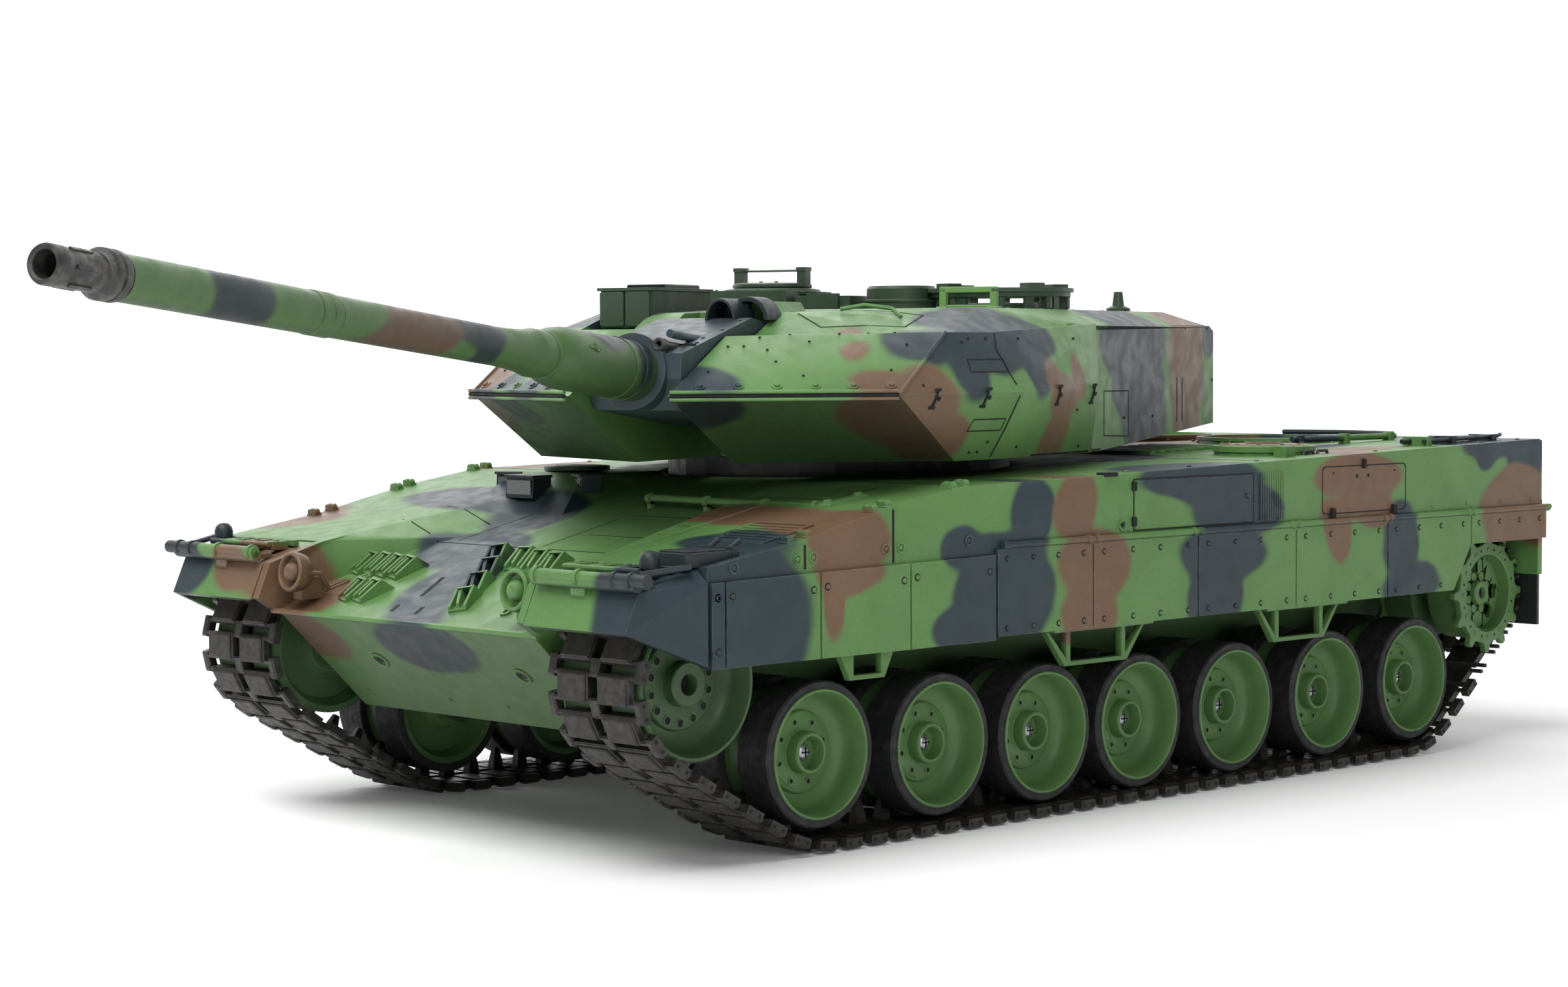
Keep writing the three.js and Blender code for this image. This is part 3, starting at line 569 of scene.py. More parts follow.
# ---- carried-over shells ------------------------------------------------------------------
def shell(node, finish, bevel, body=None):
    """A CAD node's shape with its flats merged, its edges rounded and a proper finish."""
    source = frame["nodes"][node]
    bm = bmesh.new()
    bm.from_mesh(source.data)
    bmesh.ops.remove_doubles(bm, verts=bm.verts, dist=2e-6)
    bmesh.ops.dissolve_limit(bm, angle_limit=math.radians(0.6), verts=bm.verts, edges=bm.edges)
    for face in bm.faces:
        face.smooth = True
    mesh = bpy.data.meshes.new(node + "_skin")
    bm.to_mesh(mesh)
    bm.free()
    mesh.set_sharp_from_angle(angle=math.radians(SHARP))
    mesh.materials.append(finish)
    piece = bpy.data.objects.new(node + "_skin", mesh)
    bpy.context.scene.collection.objects.link(piece)
    round_edges(piece, bevel, 2)
    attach(piece, body or source["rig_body"])
    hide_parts(node)
    return piece


def refinish(node, finish):
    """A CAD node that stays as it is, with a proper finish."""
    source = frame["nodes"][node]
    source.data.materials.clear()
    source.data.materials.append(finish)


_trees = {}


def stick(node, place, start, toward, up=(0, 0, 1)):
    """Where a ray meets a CAD node: a matrix in the part's frame, Z out of the surface and Y up."""
    if node not in _trees:
        mesh = frame["nodes"][node].data
        faces = [p.vertices[:] for p in mesh.polygons]
        _trees[node] = BVHTree.FromPolygons([v.co for v in mesh.vertices], faces)
    back = place.inverted()
    aim = (place.to_3x3() @ Vector(toward)).normalized()
    hit, normal, _, _ = _trees[node].ray_cast(place @ Vector(start), aim)
    if hit is None:
        raise ValueError(f"a ray from {start} misses {node}")
    z = (back.to_3x3() @ normal).normalized()
    if z.dot(Vector(toward)) > 0:
        z = -z
    x = Vector(up).cross(z).normalized()
    y = z.cross(x)
    point = back @ hit
    return Matrix((
        (x.x, y.x, z.x, point.x),
        (x.y, y.y, z.y, point.y),
        (x.z, y.z, z.z, point.z),
        (0, 0, 0, 1),
    ))


def bolt(piece, at, r=0.8, h=0.45, finish=0, washer=0.0):
    """A round-shouldered bolt head, with a washer under it if one is asked for."""
    if washer:
        rim = [(0, -0.2), (washer, -0.2), (washer, 0.18), (washer - 0.15, 0.3), (0, 0.3)]
        lathe(piece, rim, at, finish, 16)
        at = at @ move(0, 0, 0.3)
    lathe(piece, [(0, -0.2), (r, -0.2), (r, h * 0.65), (r * 0.75, h), (0, h)], at, finish, 10)


SEAM_STEP = 5.0                  # a seam is dropped on the surface at least this often
SEAM_PROUD = 0.07


def stepped(points, stride):
    """The same line with points added so that no leg is longer than stride."""
    line = [Vector(points[0])]
    for a, b in zip(points, points[1:]):
        a, b = Vector(a), Vector(b)
        count = max(1, math.ceil((b - a).length / stride))
        line += [a.lerp(b, (i + 1) / count) for i in range(count)]
    return line


def seam(piece, points, node, place, toward, width):
    """A dark joint line laid on a surface along points."""
    spots = [stick(node, place, p, toward) for p in stepped(points, SEAM_STEP)]
    for a, b in zip(spots, spots[1:]):
        ends = (a.translation, b.translation)
        along = (ends[1] - ends[0]).normalized()
        normal = a.col[2].to_3d()
        side = normal.cross(along) * width / 2
        reach = along * width / 2
        lift = normal * SEAM_PROUD
        low = normal * -0.3
        start, end = ends[0] - reach, ends[1] + reach
        corners = [start - side, end - side, end + side, start + side]
        piece.add(
            [p + low for p in corners] + [p + lift for p in corners],
            [(0, 1, 2, 3), (4, 5, 6, 7), (0, 1, 5, 4), (1, 2, 6, 5), (2, 3, 7, 6), (3, 0, 4, 7)],
        )


# ---- running gear -------------------------------------------------------------------------
TRACK_IN = 67.15
TRACK_OUT = 106.85
TRACK_MIDDLE = (TRACK_IN + TRACK_OUT) / 2
BAND = 4.2
WHEEL_R = 21.68
WHEEL_Y = [-126.2, -74.8, -26.7, 19.7, 69.8, 122.7, 174.7]
WHEEL_Z = [29.1, 27.3, 26.6, 26.3, 26.5, 26.9, 27.8]
IDLER = (-174.2, 53, 21.6)
SPROCKET = (219.8, 56)
TEETH = 12
LINKS = 88
SPROCKET_CLEAR = 27.5            # end connectors are left off within this distance of the sprocket's axle


def at_axle(y, z):
    """Local Z runs outward along the axle, with height 0 on the hull's middle plane."""
    return move(0, y, z) @ ALONG_X


def road_wheel(piece, y, z):
    at = at_axle(y, z)
    rim = 19.2
    for inner, outer in ((71.2, 83.3), (90.7, 103.7)):
        lathe(piece, [
            (rim - 0.4, inner), (WHEEL_R - 0.5, inner), (WHEEL_R, inner + 0.6), (WHEEL_R, outer - 0.6),
            (WHEEL_R - 0.5, outer), (rim, outer), (rim - 0.1, outer - 0.5),
        ], at, 1, 64)
    dish = [
        (rim, 102.4), (rim, 104.0), (rim - 0.3, 104.25), (rim - 0.75, 104.2), (rim - 1.1, 103.6),
        (17.6, 99.0), (17.0, 96.6), (16.0, 95.2), (13.4, 94.3), (12.5, 94.2), (12.3, 94.7), (12.0, 95.3),
        (11.6, 95.5), (6.5, 95.5), (6.3, 95.7), (6.3, 99.3), (6.0, 99.8), (5.6, 100.0), (5.1, 99.9),
        (4.9, 99.5), (4.9, 95.4), (0, 95.4),
    ]
    lathe(piece, dish, at, 0, 64)
    lathe(piece, [
        (rim, 90.7), (14, 90.7), (9, 92), (9, 82), (14, 83.3), (rim, 83.3), (rim, 102.4),
    ], at, 0, 48)
    lathe(piece, [(rim, 71.2), (17, 71.8), (15, 76), (8, 76), (6, 71), (0, 71)], at, 0, 48)
    for angle in turns(8, 0.3):
        spot = at @ move(*polar(9.3, angle), 95.5)
        ring(piece, 0.75, 1.15, -0.2, 0.25, spot, 0, 12)
        # a dark disc as painted shade in each hollow bolt ring
        disc(piece, 0.76, -0.2, 0.06, spot, 2, 12)
    for angle in turns(2, 2.2):
        arc = [(*polar(10.9, angle + t / 10), 95.5) for t in range(8)]
        tube(piece, arc, 0.28, at, 0, 6)
    lathe(piece, [(0, 95.2), (2.5, 95.2), (2.5, 96.4), (1.8, 97.2), (0.9, 97.4), (0, 97.4)], at, 3, 16)
    # a dark cross as painted shade in the hub cap's slots
    box(piece, -1.5, 1.5, -0.25, 0.25, 97.25, 97.55, at, 2)
    box(piece, -0.25, 0.25, -1.5, 1.5, 97.25, 97.55, at, 2)


def idler_wheel(piece):
    y, z, r = IDLER
    at = at_axle(y, z)
    lathe(piece, [
        (0, 69.9), (8, 69.9), (10, 74), (17, 74), (19.5, 70.2), (r, 70.2), (r, 83.4), (9, 83.4), (9, 90.6),
        (r, 90.6), (r, 102.8), (r - 0.4, 103.2), (r - 1.1, 103.2), (r - 1.5, 102.6), (19.4, 97),
        (18, 95.2), (15, 94.2), (13.6, 94.2), (13.4, 95.2), (13.0, 95.6), (6.6, 95.6), (6.4, 96),
        (6.4, 99.2), (6, 99.6), (3.2, 99.6), (3.0, 99.2), (3.0, 96), (0, 96),
    ], at, 0, 72)
    for angle in turns(14):
        spot = at @ move(*polar(11.2, angle), 95.6)
        ring(piece, 1.15, 1.5, -0.2, 0.3, spot, 0, 12)
        # a dark disc as painted shade in each hollow bolt ring
        disc(piece, 1.16, -0.2, 0.06, spot, 1, 12)
    # a dark disc as painted shade in the hub's hole
    disc(piece, 3.0, 95.5, 96.2, at, 1, 16)


def tooth_outline():
    """The toothed ring's edge: straight valleys and blunt teeth."""
    shape = ((-0.5, 18.5), (-0.27, 18.5), (-0.17, 19.4), (-0.12, 21.4), (-0.07, 22.0), (0.07, 22.0),
             (0.12, 21.4), (0.17, 19.4), (0.27, 18.5))
    return [polar(r, math.tau * (i + part) / TEETH) for i in range(TEETH) for part, r in shape]


def sprocket_wheel(piece):
    at = at_axle(*SPROCKET)
    plate(piece, [tooth_outline(), circle(14.2, count=48)], 103.0, 105.5, at, 0, 0.3)
    plate(piece, [tooth_outline(), circle(12, count=32)], 68.9, 71.1, at, 0, 0.3)
    lathe(piece, [
        (0, 68.9), (12.2, 68.9), (12.2, 71.2), (17.0, 71.2), (17.0, 83.2), (9, 83.2), (9, 90.8),
        (17.0, 90.8), (17.0, 103.1), (14.2, 103.1), (14.2, 104.4), (13.6, 104.9), (13.4, 98.0),
    ], at, 0, 64)
    holes = [circle(3.1, *polar(10.0, a), 6, a) for a in turns(8)]
    inner = [circle(1.35, *polar(6.3, a), 10, a) for a in turns(8, math.pi / 8)]
    plate(piece, [circle(13.5, count=48), *holes, *inner], 99.4, 101.0, at, 0, 0.25)
    # a dark disc behind the holed plate, as painted shade seen through its holes
    disc(piece, 13.4, 96.4, 97.0, at, 1, 32)
    cap = [(4.6, 100.6), (4.5, 102.6), (4.1, 103.0), (2.2, 103.0), (2.0, 102.6), (2.0, 101)]
    lathe(piece, cap, at, 0, 24)
    # a dark disc as painted shade inside the hub cap
    disc(piece, 4.55, 100.6, 101.6, at, 1, 24)
    for angle in turns(TEETH):
        bolt(piece, at @ move(*polar(16.2, angle), 105.5), 0.75, 0.35)
        # dark dots as painted shade in small holes beside the bolts
        disc(piece, 0.5, -0.2, 0.05, at @ move(*polar(16.2, angle + 0.28), 105.5), 1, 10)


def belt_path():
    """Points along the track's inner face, one for each link, at an even pitch."""
    circles = [
        (IDLER[0], IDLER[1], 22.1), (SPROCKET[0], SPROCKET[1], 17.6),
        (WHEEL_Y[0], BAND + 22.2, 22.2), (WHEEL_Y[6], BAND + 22.2, 22.2),
    ]
    cloud = sorted((y + r * math.cos(a), z + r * math.sin(a)) for y, z, r in circles for a in turns(240))
    chains = []
    for points in (cloud, cloud[::-1]):
        chain = []
        for p in points:
            while len(chain) > 1 and turn_of(chain[-2], chain[-1], p) <= 0:
                chain.pop()
            chain.append(p)
        chains += chain[:-1]
    loop = [Vector(p) for p in chains]
    steps = [(loop[(i + 1) % len(loop)] - p).length for i, p in enumerate(loop)]
    pitch = sum(steps) / LINKS
    places = []
    travelled = 0.0
    for i, p in enumerate(loop):
        q = loop[(i + 1) % len(loop)]
        while len(places) < LINKS and len(places) * pitch <= travelled + steps[i]:
            share = (len(places) * pitch - travelled) / steps[i]
            places.append(p.lerp(q, share))
        travelled += steps[i]
    return places


def turn_of(o, a, b):
    """Positive where the path from o over a to b turns left."""
    return (a[0] - o[0]) * (b[1] - o[1]) - (a[1] - o[1]) * (b[0] - o[0])


def chamfered(piece, x0, x1, y0, y1, z0, z1, cut, at, finish):
    """A block whose top face is smaller by the chamfer all round."""
    low = [(x0, y0, z0), (x1, y0, z0), (x1, y1, z0), (x0, y1, z0)]
    waist = [(x, y, z1 - cut) for x, y, _ in low]
    corners = ((x0 + cut, y0 + cut), (x1 - cut, y0 + cut), (x1 - cut, y1 - cut), (x0 + cut, y1 - cut))
    top = [(x, y, z1) for x, y in corners]
    sides = [(i + k, (i + 1) % 4 + k, (i + 1) % 4 + k + 4, i + k + 4) for k in (0, 4) for i in range(4)]
    piece.add(low + waist + top, [(0, 1, 2, 3), (8, 9, 10, 11), *sides], at, finish)


def link(piece, at, next_at, ends):
    """One track link, with local X across, Y along the track and Z outward from the inner face."""
    for centre in (TRACK_MIDDLE - 8.6, TRACK_MIDDLE + 8.6):
        chamfered(piece, centre - 6.3, centre + 6.3, -4.3, 4.3, 0.5, 2.9, 0.4, at, 0)
        chamfered(piece, centre - 5.9, centre + 5.9, -3.9, 3.9, 2.6, BAND - 0.45, 0.4, at, 1)
    for along in (-3.7, 3.7):
        tube(piece, [(TRACK_IN + 0.6, along, 1.9), (TRACK_OUT - 0.6, along, 1.9)], 0.85, at, 0, 6)
    chamfered(piece, TRACK_MIDDLE - 1.9, TRACK_MIDDLE + 1.9, -2.4, 2.4, 0.7, 3.5, 0.4, next_at, 0)
    solid(piece, [
        (TRACK_MIDDLE + sx * wide, sy * deep, z)
        for sx in (-1, 1) for sy in (-1, 1)
        for wide, deep, z in ((1.7, 2.2, 0.9), (1.5, 1.9, -2.0), (0.8, 0.9, -6.8))
    ], next_at, 0)
    if not ends:
        return
    for x0, x1 in ((TRACK_IN + 0.05, TRACK_IN + 3.1), (TRACK_OUT - 3.1, TRACK_OUT - 0.05)):
        chamfered(piece, x0, x1, -3.4, 3.4, 0.5, 3.6, 0.6, next_at, 0)
    for along in (-1.9, 1.9):
        pin = next_at @ move(TRACK_OUT - 0.1, along, 2.0) @ ALONG_X
        disc(piece, 0.6, -0.1, 0.12, pin, 2, 8)


def track(piece):
    places = belt_path()
    middle = Vector((0, 60))     # any point inside the loop, in hull Y and Z
    spots = []
    for i, p in enumerate(places):
        along = (places[(i + 1) % LINKS] - places[i - 1]).normalized()
        out = Vector((along.y, -along.x))
        if out.dot(p - middle) < 0 and abs(out.x) < 0.01:
            out = -out
        spots.append(Matrix((
            (1, 0, 0, 0), (0, along.x, out.x, p.x), (0, along.y, out.y, p.y), (0, 0, 0, 1),
        )))
    for i, spot in enumerate(spots):
        after = spots[(i + 1) % LINKS]
        between = spot.lerp(after, 0.5)
        clear = (Vector(between.translation.yz) - Vector(SPROCKET)).length > SPROCKET_CLEAR
        link(piece, spot, between, clear)


for side, place in SIDES:
    for i, (y, z) in enumerate(zip(WHEEL_Y, WHEEL_Z), 1):
        wheel = Piece(f"{side}_wheel_{i}_detail", place, WHEEL_GREEN, TYRE, SEAM_AND_SHADE, STEEL)
        road_wheel(wheel, y, z)
        wheel.done(f"{side}_wheel_{i}", "wheel_green", f"{side}_wheel_{i}")
        shell(f"{side}_arm_{i}", DARK_GREEN, 0.3)
    idler = Piece(f"{side}_idler_detail", place, IDLER_GREEN_SHADED, SEAM_AND_SHADE)
    idler_wheel(idler)
    idler.done(f"{side}_idler", "wheel_green", f"{side}_idler")
    sprocket = Piece(f"{side}_sprocket_detail", place, WHEEL_GREEN, SEAM_AND_SHADE)
    sprocket_wheel(sprocket)
    sprocket.done(f"{side}_sprocket", "wheel_green", f"{side}_sprocket")
    band = Piece(f"{side}_track_links", place, TRACK, PAD, SEAM_AND_SHADE)
    track(band)
    band.done("root", "track_black", f"{side}_track")


# ---- hull shells --------------------------------------------------------------------------
for part, edge in (("lower_hull", 0.5), ("upper_hull", 0.45), ("engine_deck", 0.3), ("rear_plate", 0.5)):
    shell(part, CAMO_HULL, edge)
for side, _ in SIDES:
    shell(f"{side}_mudguard", CAMO_HULL, 0.4)
shell("driver_hatch", DARK_GREEN, 0.4)

DOWN = (0, 0, -1)
INWARD = (-1, 0, 0)
SIDE_X = 130                     # where rays towards a side start from
SKY_Z = 200                      # where rays towards the roof start from


def on_roof(x, y, node="upper_hull"):
    return stick(node, HULL, (x, y, SKY_Z), DOWN, (0, 1, 0))


def on_side(y, z):
    return stick("upper_hull", HULL, (SIDE_X, y, z), INWARD)


def roof_seam(lines, points, width, node="upper_hull"):
    """A joint line on the hull's roof or bow, through points given from above."""
    seam(lines, [(x, y, SKY_Z) for x, y in points], node, HULL, DOWN, width)


# ---- side skirts --------------------------------------------------------------------------
SKIRT_OUTER = 117.1
HEAVY_SEAMS = (-181.7, -176.3, -139.1, -101.9, -64.4)
LIGHT_SEAMS = (-64.0, -19.2, 33.4, 86.2, 139.3, 191.1, 241)
STEPS = ((-128, -104, 51), (-38, 12, 48), (70, 117, 48))
SEAM_GAP = 0.35


def bolted(piece, x, y, z, r=0.75):
    """A bolt head on a skirt, with a thin dark ring of painted shade round it."""
    at = move(x, y, z) @ ALONG_X
    bolt(piece, at, r, 0.45)
    # a dark ring as painted shade round the bolt head
    ring(piece, r + 0.02, r + 0.45, -0.1, 0.05, at, 1, 14)


def skirts(piece):
    """Heavy front plates, thin rear plates, a rail with clamps, and the steps under them."""
    for y0, y1 in zip(HEAVY_SEAMS, HEAVY_SEAMS[1:]):
        top = [82.8 + 2.0 * (y + 181.7) / 117.3 for y in (y0, y1)]
        a, b = y0 + SEAM_GAP, y1 - SEAM_GAP
        outline = [(a, 58.9), (b, 58.9), (b, top[1]), (a, top[0])]
        slab(piece, outline, SKIRT_OUTER - 4.6, SKIRT_OUTER, YZ)
        for y in (y0 + 2.7, y1 - 2.9):
            if y1 - y0 > 10 or y < -178:
                bolted(piece, SKIRT_OUTER, y, top[0] - 4.2)
    bolted(piece, SKIRT_OUTER, -179.0, 63.6)
    for y0, y1 in zip(LIGHT_SEAMS, LIGHT_SEAMS[1:]):
        a, b = y0 + SEAM_GAP, y1 - SEAM_GAP
        bottom = [(a, 60.0), (b, 60.0)]
        if y1 == LIGHT_SEAMS[-2]:
            bottom = [(a, 60.0), (180.0, 60.0), (b, 75.8)]
        if y1 == LIGHT_SEAMS[-1]:
            bottom = [(a, 76.0), (b, 76.0)]
        slab(piece, [*bottom, (b, 86.4), (a, 86.4)], SKIRT_OUTER - 1.1, SKIRT_OUTER - 0.1, YZ)
        for share in (0.1, 0.37, 0.63, 0.9):
            y = y0 + (y1 - y0) * share
            bolted(piece, SKIRT_OUTER - 0.1, y, 83.4, 0.6)
            if y < 178:
                bolted(piece, SKIRT_OUTER - 0.1, y, 62.3, 0.6)
    tube(piece, [(SKIRT_OUTER - 0.6, y, 87.5) for y in (-60, 90, 243.4)], 1.15, None, 0, 10)
    box(piece, SKIRT_OUTER - 1.1, SKIRT_OUTER - 0.2, -60, 243.4, 85.9, 88.4)
    for y in LIGHT_SEAMS[1:-1]:
        for shift in (-1.9, 1.9):
            disc(piece, 1.5, -0.8, 0.8, move(SKIRT_OUTER - 0.6, y + shift, 87.5) @ turned(90, "X"), 0, 12)
    disc(piece, 1.5, -1.2, 1.0, move(SKIRT_OUTER - 0.7, -60, 87.5) @ turned(90, "X"))
    for y0, y1, low in STEPS:
        step_frame(piece, y0, y1, low)


def step_frame(piece, y0, y1, low):
    """A hanging step: a trapezoid frame with two uprights."""
    run = min(12, (y1 - y0) / 5)
    bar = 1.5
    edge = [(y0, 60.4), (y0 + run, low), (y1 - run, low), (y1, 60.4)]
    inset = 1.2 if run > 8 else 0
    left, right = y0 + run + inset, y1 - run - inset
    holes = [[(left + bar, 59.0), (left + bar, low + bar), (right - bar, low + bar), (right - bar, 59.0)]]
    if run > 8:
        wide, thin = bar * 1.7, bar * 0.4
        holes.append([(y0 + wide, 59.0), (left - thin, low + wide), (left - thin, 59.0)])
        holes.append([(y1 - wide, 59.0), (right + thin, low + wide), (right + thin, 59.0)])
    plate(piece, [edge, *holes], 110.4, 113.0, YZ, 0, 0.35)
    box(piece, 110.6, SKIRT_OUTER - 0.6, y0 + 1, y1 - 1, 59.2, 60.6)


for side, place in SIDES:
    panel = Piece(f"{side}_skirt_panels", place, CAMO_HULL, SEAM_AND_SHADE)
    skirts(panel)
    panel.done("root", "camo_paint", f"{side}_skirt", bevel=0.25, segments=1)
    flap = Piece(f"{side}_mud_flap", place, CAMO_HULL, PLASTIC)
    box(flap, 68, 113, 241.4, 244.4, 62, 90)
    box(flap, 69, 112, 242.6, 244.2, 43.2, 63, None, 1)
    for x in (74, 90, 106):
        box(flap, x - 1.2, x + 1.2, 244.2, 244.9, 60, 78)
        bolt(flap, move(x, 244.4, 84) @ turned(-90, "X"), 0.9, 0.4)
    flap.done("root", "camo_paint", f"{side}_rear_flap", bevel=0.4)


# ---- sponson sides ------------------------------------------------------------------------
def sponson(piece, lines):
    """Everything on the upper hull's side: seams, hinges, a door, a louvre and a hatch."""
    for y, top in ((-144.2, 91.6), (-108.0, 100.2)):
        box(lines, 115.5, 115.78, y - 0.45, y + 0.45, 84.6, top)
    for y, z in ((-172, 86.4), (-147.3, 87.6), (-141, 87.9), (-111.2, 88.8), (-105, 88.9), (-75.4, 89.6)):
        spot = on_side(y, z)
        ring(piece, 1.15, 1.65, -0.1, 0.35, spot, 0, 20)
        bolt(piece, spot, 0.75, 0.45)
    for y in (-149.5, -142.3, -115, -109.6, -81.5, -76):
        spot = on_roof(113.4, y)
        for shift in (-1.15, 1.15):
            disc(piece, 1.15, -1.0, 1.0, spot @ move(shift, 0, 1.0) @ turned(90, "X"), 0, 10)
        box(piece, -2.4, 2.4, -1.3, 1.3, -0.3, 0.5, spot)
    outline_groove(lines, rounded(1.8, 64.4, 88.9, 105.6, 0.4), 0.42)
    plate(piece, [rounded(2.6, 63.6, 89.5, 105.0, 0.6)], 115.4, 116.0, YZ, 0, 0.15)
    for z in (92.0, 103.2):
        box(lines, 115.6, 116.5, 1.0, 2.9, z - 1.4, z + 1.4)
    box(lines, 112.6, 116.4, -12.5, -6.5, 106.6, 107.9)
    spot = on_side(-3.6, 91.2)
    ring(piece, 1.3, 1.9, -0.1, 0.4, spot, 0, 20)
    # a dark disc as painted shade in the ring's hole
    disc(lines, 0.7, -0.1, 0.35, spot, 0, 12)
    bolt(piece, on_side(60.6, 98), 0.9, 0.9, 0, 1.3)
    for i in range(11):
        y = 67.6 + 1.25 * i
        box(piece, 115.5, 116.15, y, y + 0.75, 89.6, 105.4)
        # a dark strip as painted shade in the gap between two louvre slats
        box(lines, 115.5, 115.8, y + 0.75, y + 1.25, 89.6, 105.4)
    outline_groove(lines, rounded(102.4, 151.8, 90.0, 106.4, 1.8), 0.4)
    for y, z in ((108, 89.6), (144, 89.6)):
        box(lines, 115.6, 116.9, y - 1.0, y + 1.0, z - 0.6, z + 2.4)
        box(lines, 115.6, 116.4, y - 1.7, y + 1.7, z - 0.9, z + 0.1)
    box(lines, 115.6, 116.7, 125.4, 127.0, 105.2, 108.4)
    # dark dots as painted shade in small holes
    for y in (122.6, 129.2):
        disc(lines, 0.65, -0.2, 0.12, on_side(y, 102.6), 0, 12)
    # dark dots as painted shade in small holes
    for y in (109, 145):
        disc(lines, 0.4, -0.2, 0.12, on_side(y, 104), 0, 10)
    for y in (168, 190, 212, 232):
        bolt(piece, on_side(y, 90.6), 0.55, 0.35)


def outline_groove(lines, outline, width):
    """A thin dark line that runs round a closed outline on the hull's side."""
    wall = 115.62
    centre = Vector((sum(p[0] for p in outline), sum(p[1] for p in outline))) / len(outline)
    inner = [
        (p[0] - math.copysign(width, p[0] - centre.x), p[1] - math.copysign(width, p[1] - centre.y))
        for p in outline
    ]
    plate(lines, [outline, inner], wall - 0.2, wall + 0.16, YZ)


for side, place in SIDES:
    fittings = Piece(f"{side}_sponson_fittings", place, CAMO_HULL)
    dark = Piece(f"{side}_sponson_joints_and_shade", place, SEAM_AND_SHADE)
    sponson(fittings, dark)
    fittings.done("root", "camo_paint")
    dark.done("root", "black_plastic")


# ---- bow ----------------------------------------------------------------------------------
def headlamp(piece, x):
    """A domed lamp in a deep ring, on a short bracket over the bow plate."""
    at = move(x, -199.4, 78.6) @ turned(82, "X") @ Matrix.Scale(0.84, 4)
    lathe(piece, [
        (0, -6), (4.6, -6), (6.8, -3.5), (7.4, -1.0), (7.4, 1.6), (6.9, 2.2), (6.1, 2.2), (5.7, 1.6),
        (5.6, -0.4), (3.9, -0.6), (3.7, 0.4), (3.2, 2.0), (2.2, 3.0), (1.1, 3.5), (0, 3.6),
    ], at, 0, 40)
    box(piece, x - 2.2, x + 2.2, -198, -189, 70, 77)
    for shift in (-5.2, 5.2):
        stay = [(x + shift, -197.5, 78.5), (x + shift, -193, 78), (x + shift * 0.8, -189, 73)]
        tube(piece, stay, 0.8)


def cleat(piece, at):
    """A spare ice cleat: a tray with two slanting webs that meet in a ridge."""
    length, half, height = 12.0, 3.2, 4.4
    slab(piece, [(-half, 0), (half, 0), (half, length), (-half, length)], -0.4, 0.7, at)
    for sx in (-1, 1):
        corners = ((0, 0.4), (length, 0.4), (0.6, 1.8), (length - 3, height))
        solid(piece, [(sx * x, y, z) for x in (half, half - 1.0) for y, z in corners], at)
    corners = ((length - 1.2, 0.5), (length, 0.5), (length - 4.2, height), (length - 3.2, height))
    solid(piece, [(x, y, z) for x in (-half + 0.6, half - 0.6) for y, z in corners], at)
    solid(piece, [
        (-0.6, 1, 0.5), (0.6, 1, 0.5), (-half + 1, length - 2, 0.5), (-half + 2.2, length - 2, 0.5),
        (-0.5, 1.4, 2.2), (0.5, 1.4, 2.2), (-half + 1, length - 3.4, height - 0.5),
        (-half + 2.2, length - 3.4, height - 0.5),
    ], at)


CLEATS = (
    # x, y on the bow plate, and the turn about the plate's normal in degrees
    (-56.5, -175, -14), (-49.5, -175, -14), (-42.5, -175.5, -14), (-35.5, -176, -14),
    (-41, -191, -14), (-33.5, -191, -14),
    (16.5, -191, 24), (11.5, -182, 24), (6, -173, 24), (0, -165, 24),
    (11, -166, 6), (19.5, -167, 6), (28, -168, 6),
)


def bow(piece, lines):
    """Headlamps, spare cleats, slotted brackets, joints, bolts and two rings on the bow."""
    tube(piece, [(-65, -200.3, 66.1), (0, -200.3, 66.1), (65, -200.3, 66.1)], 0.9)
    for x in (-54.75, 54.75):
        headlamp(piece, x)
    for x, y, turn in CLEATS:
        at = on_roof(x, y) @ turned(turn, "Z")
        cleat(piece, at)
    for x, y, turn, length in ((-58, -187, -24, 10), (38, -191, 22, 9), (-50, -178, -24, 9)):
        at = on_roof(x, y) @ turned(turn, "Z")
        loop = [rounded(-1.8, 1.8, 0, length, 1.6), rounded(-0.7, 0.7, 1.1, length - 1.1, 0.6)]
        plate(piece, loop, -0.1, 0.7, at, 0, 0.15)
        # a dark strip as painted shade in the bracket's slot
        box(lines, -0.6, 0.6, 1.4, length - 1.4, -0.2, 0.12, at)
    for x, y, length in ((-10, -184, 13), (-12, -194, 4.4), (0, -194, 4.4)):
        at = on_roof(x, y) @ turned(18, "Z")
        box(lines, -0.7, 0.7, 0, length, -0.2, 0.1, at)
    roof_seam(lines, [(x, -151.4) for x in (-62, -20, 20, 62)], 0.45)
    for x in (-36, 6, 44):
        roof_seam(lines, [(x, -149), (x + 4, -122)], 0.4)
    for x0, x1, y in ((-62, -40, -133), (14, 40, -137), (14, 40, -118), (48, 62, -128), (50, 64, -141)):
        roof_seam(lines, [(x0, y), (x1, y)], 0.35)
    for x in (-29, 40):
        spot = stick("lower_hull", HULL, (x, -240, 52), (0, 1, 0))
        plate(piece, [circle(3.3, count=20), circle(2.3, count=20)], -0.1, 0.5, spot, 0, 0.15)
        # a dark oval as painted shade inside the ring
        disc(lines, 2.35, -0.2, 0.1, spot @ Matrix.Scale(0.55, 4, (0, 1, 0)), 0, 20)
    for x in (-52, -10, 18, 60):
        bolt(piece, stick("lower_hull", HULL, (x, -240, 40), (0, 1, 0)), 0.7, 0.4)


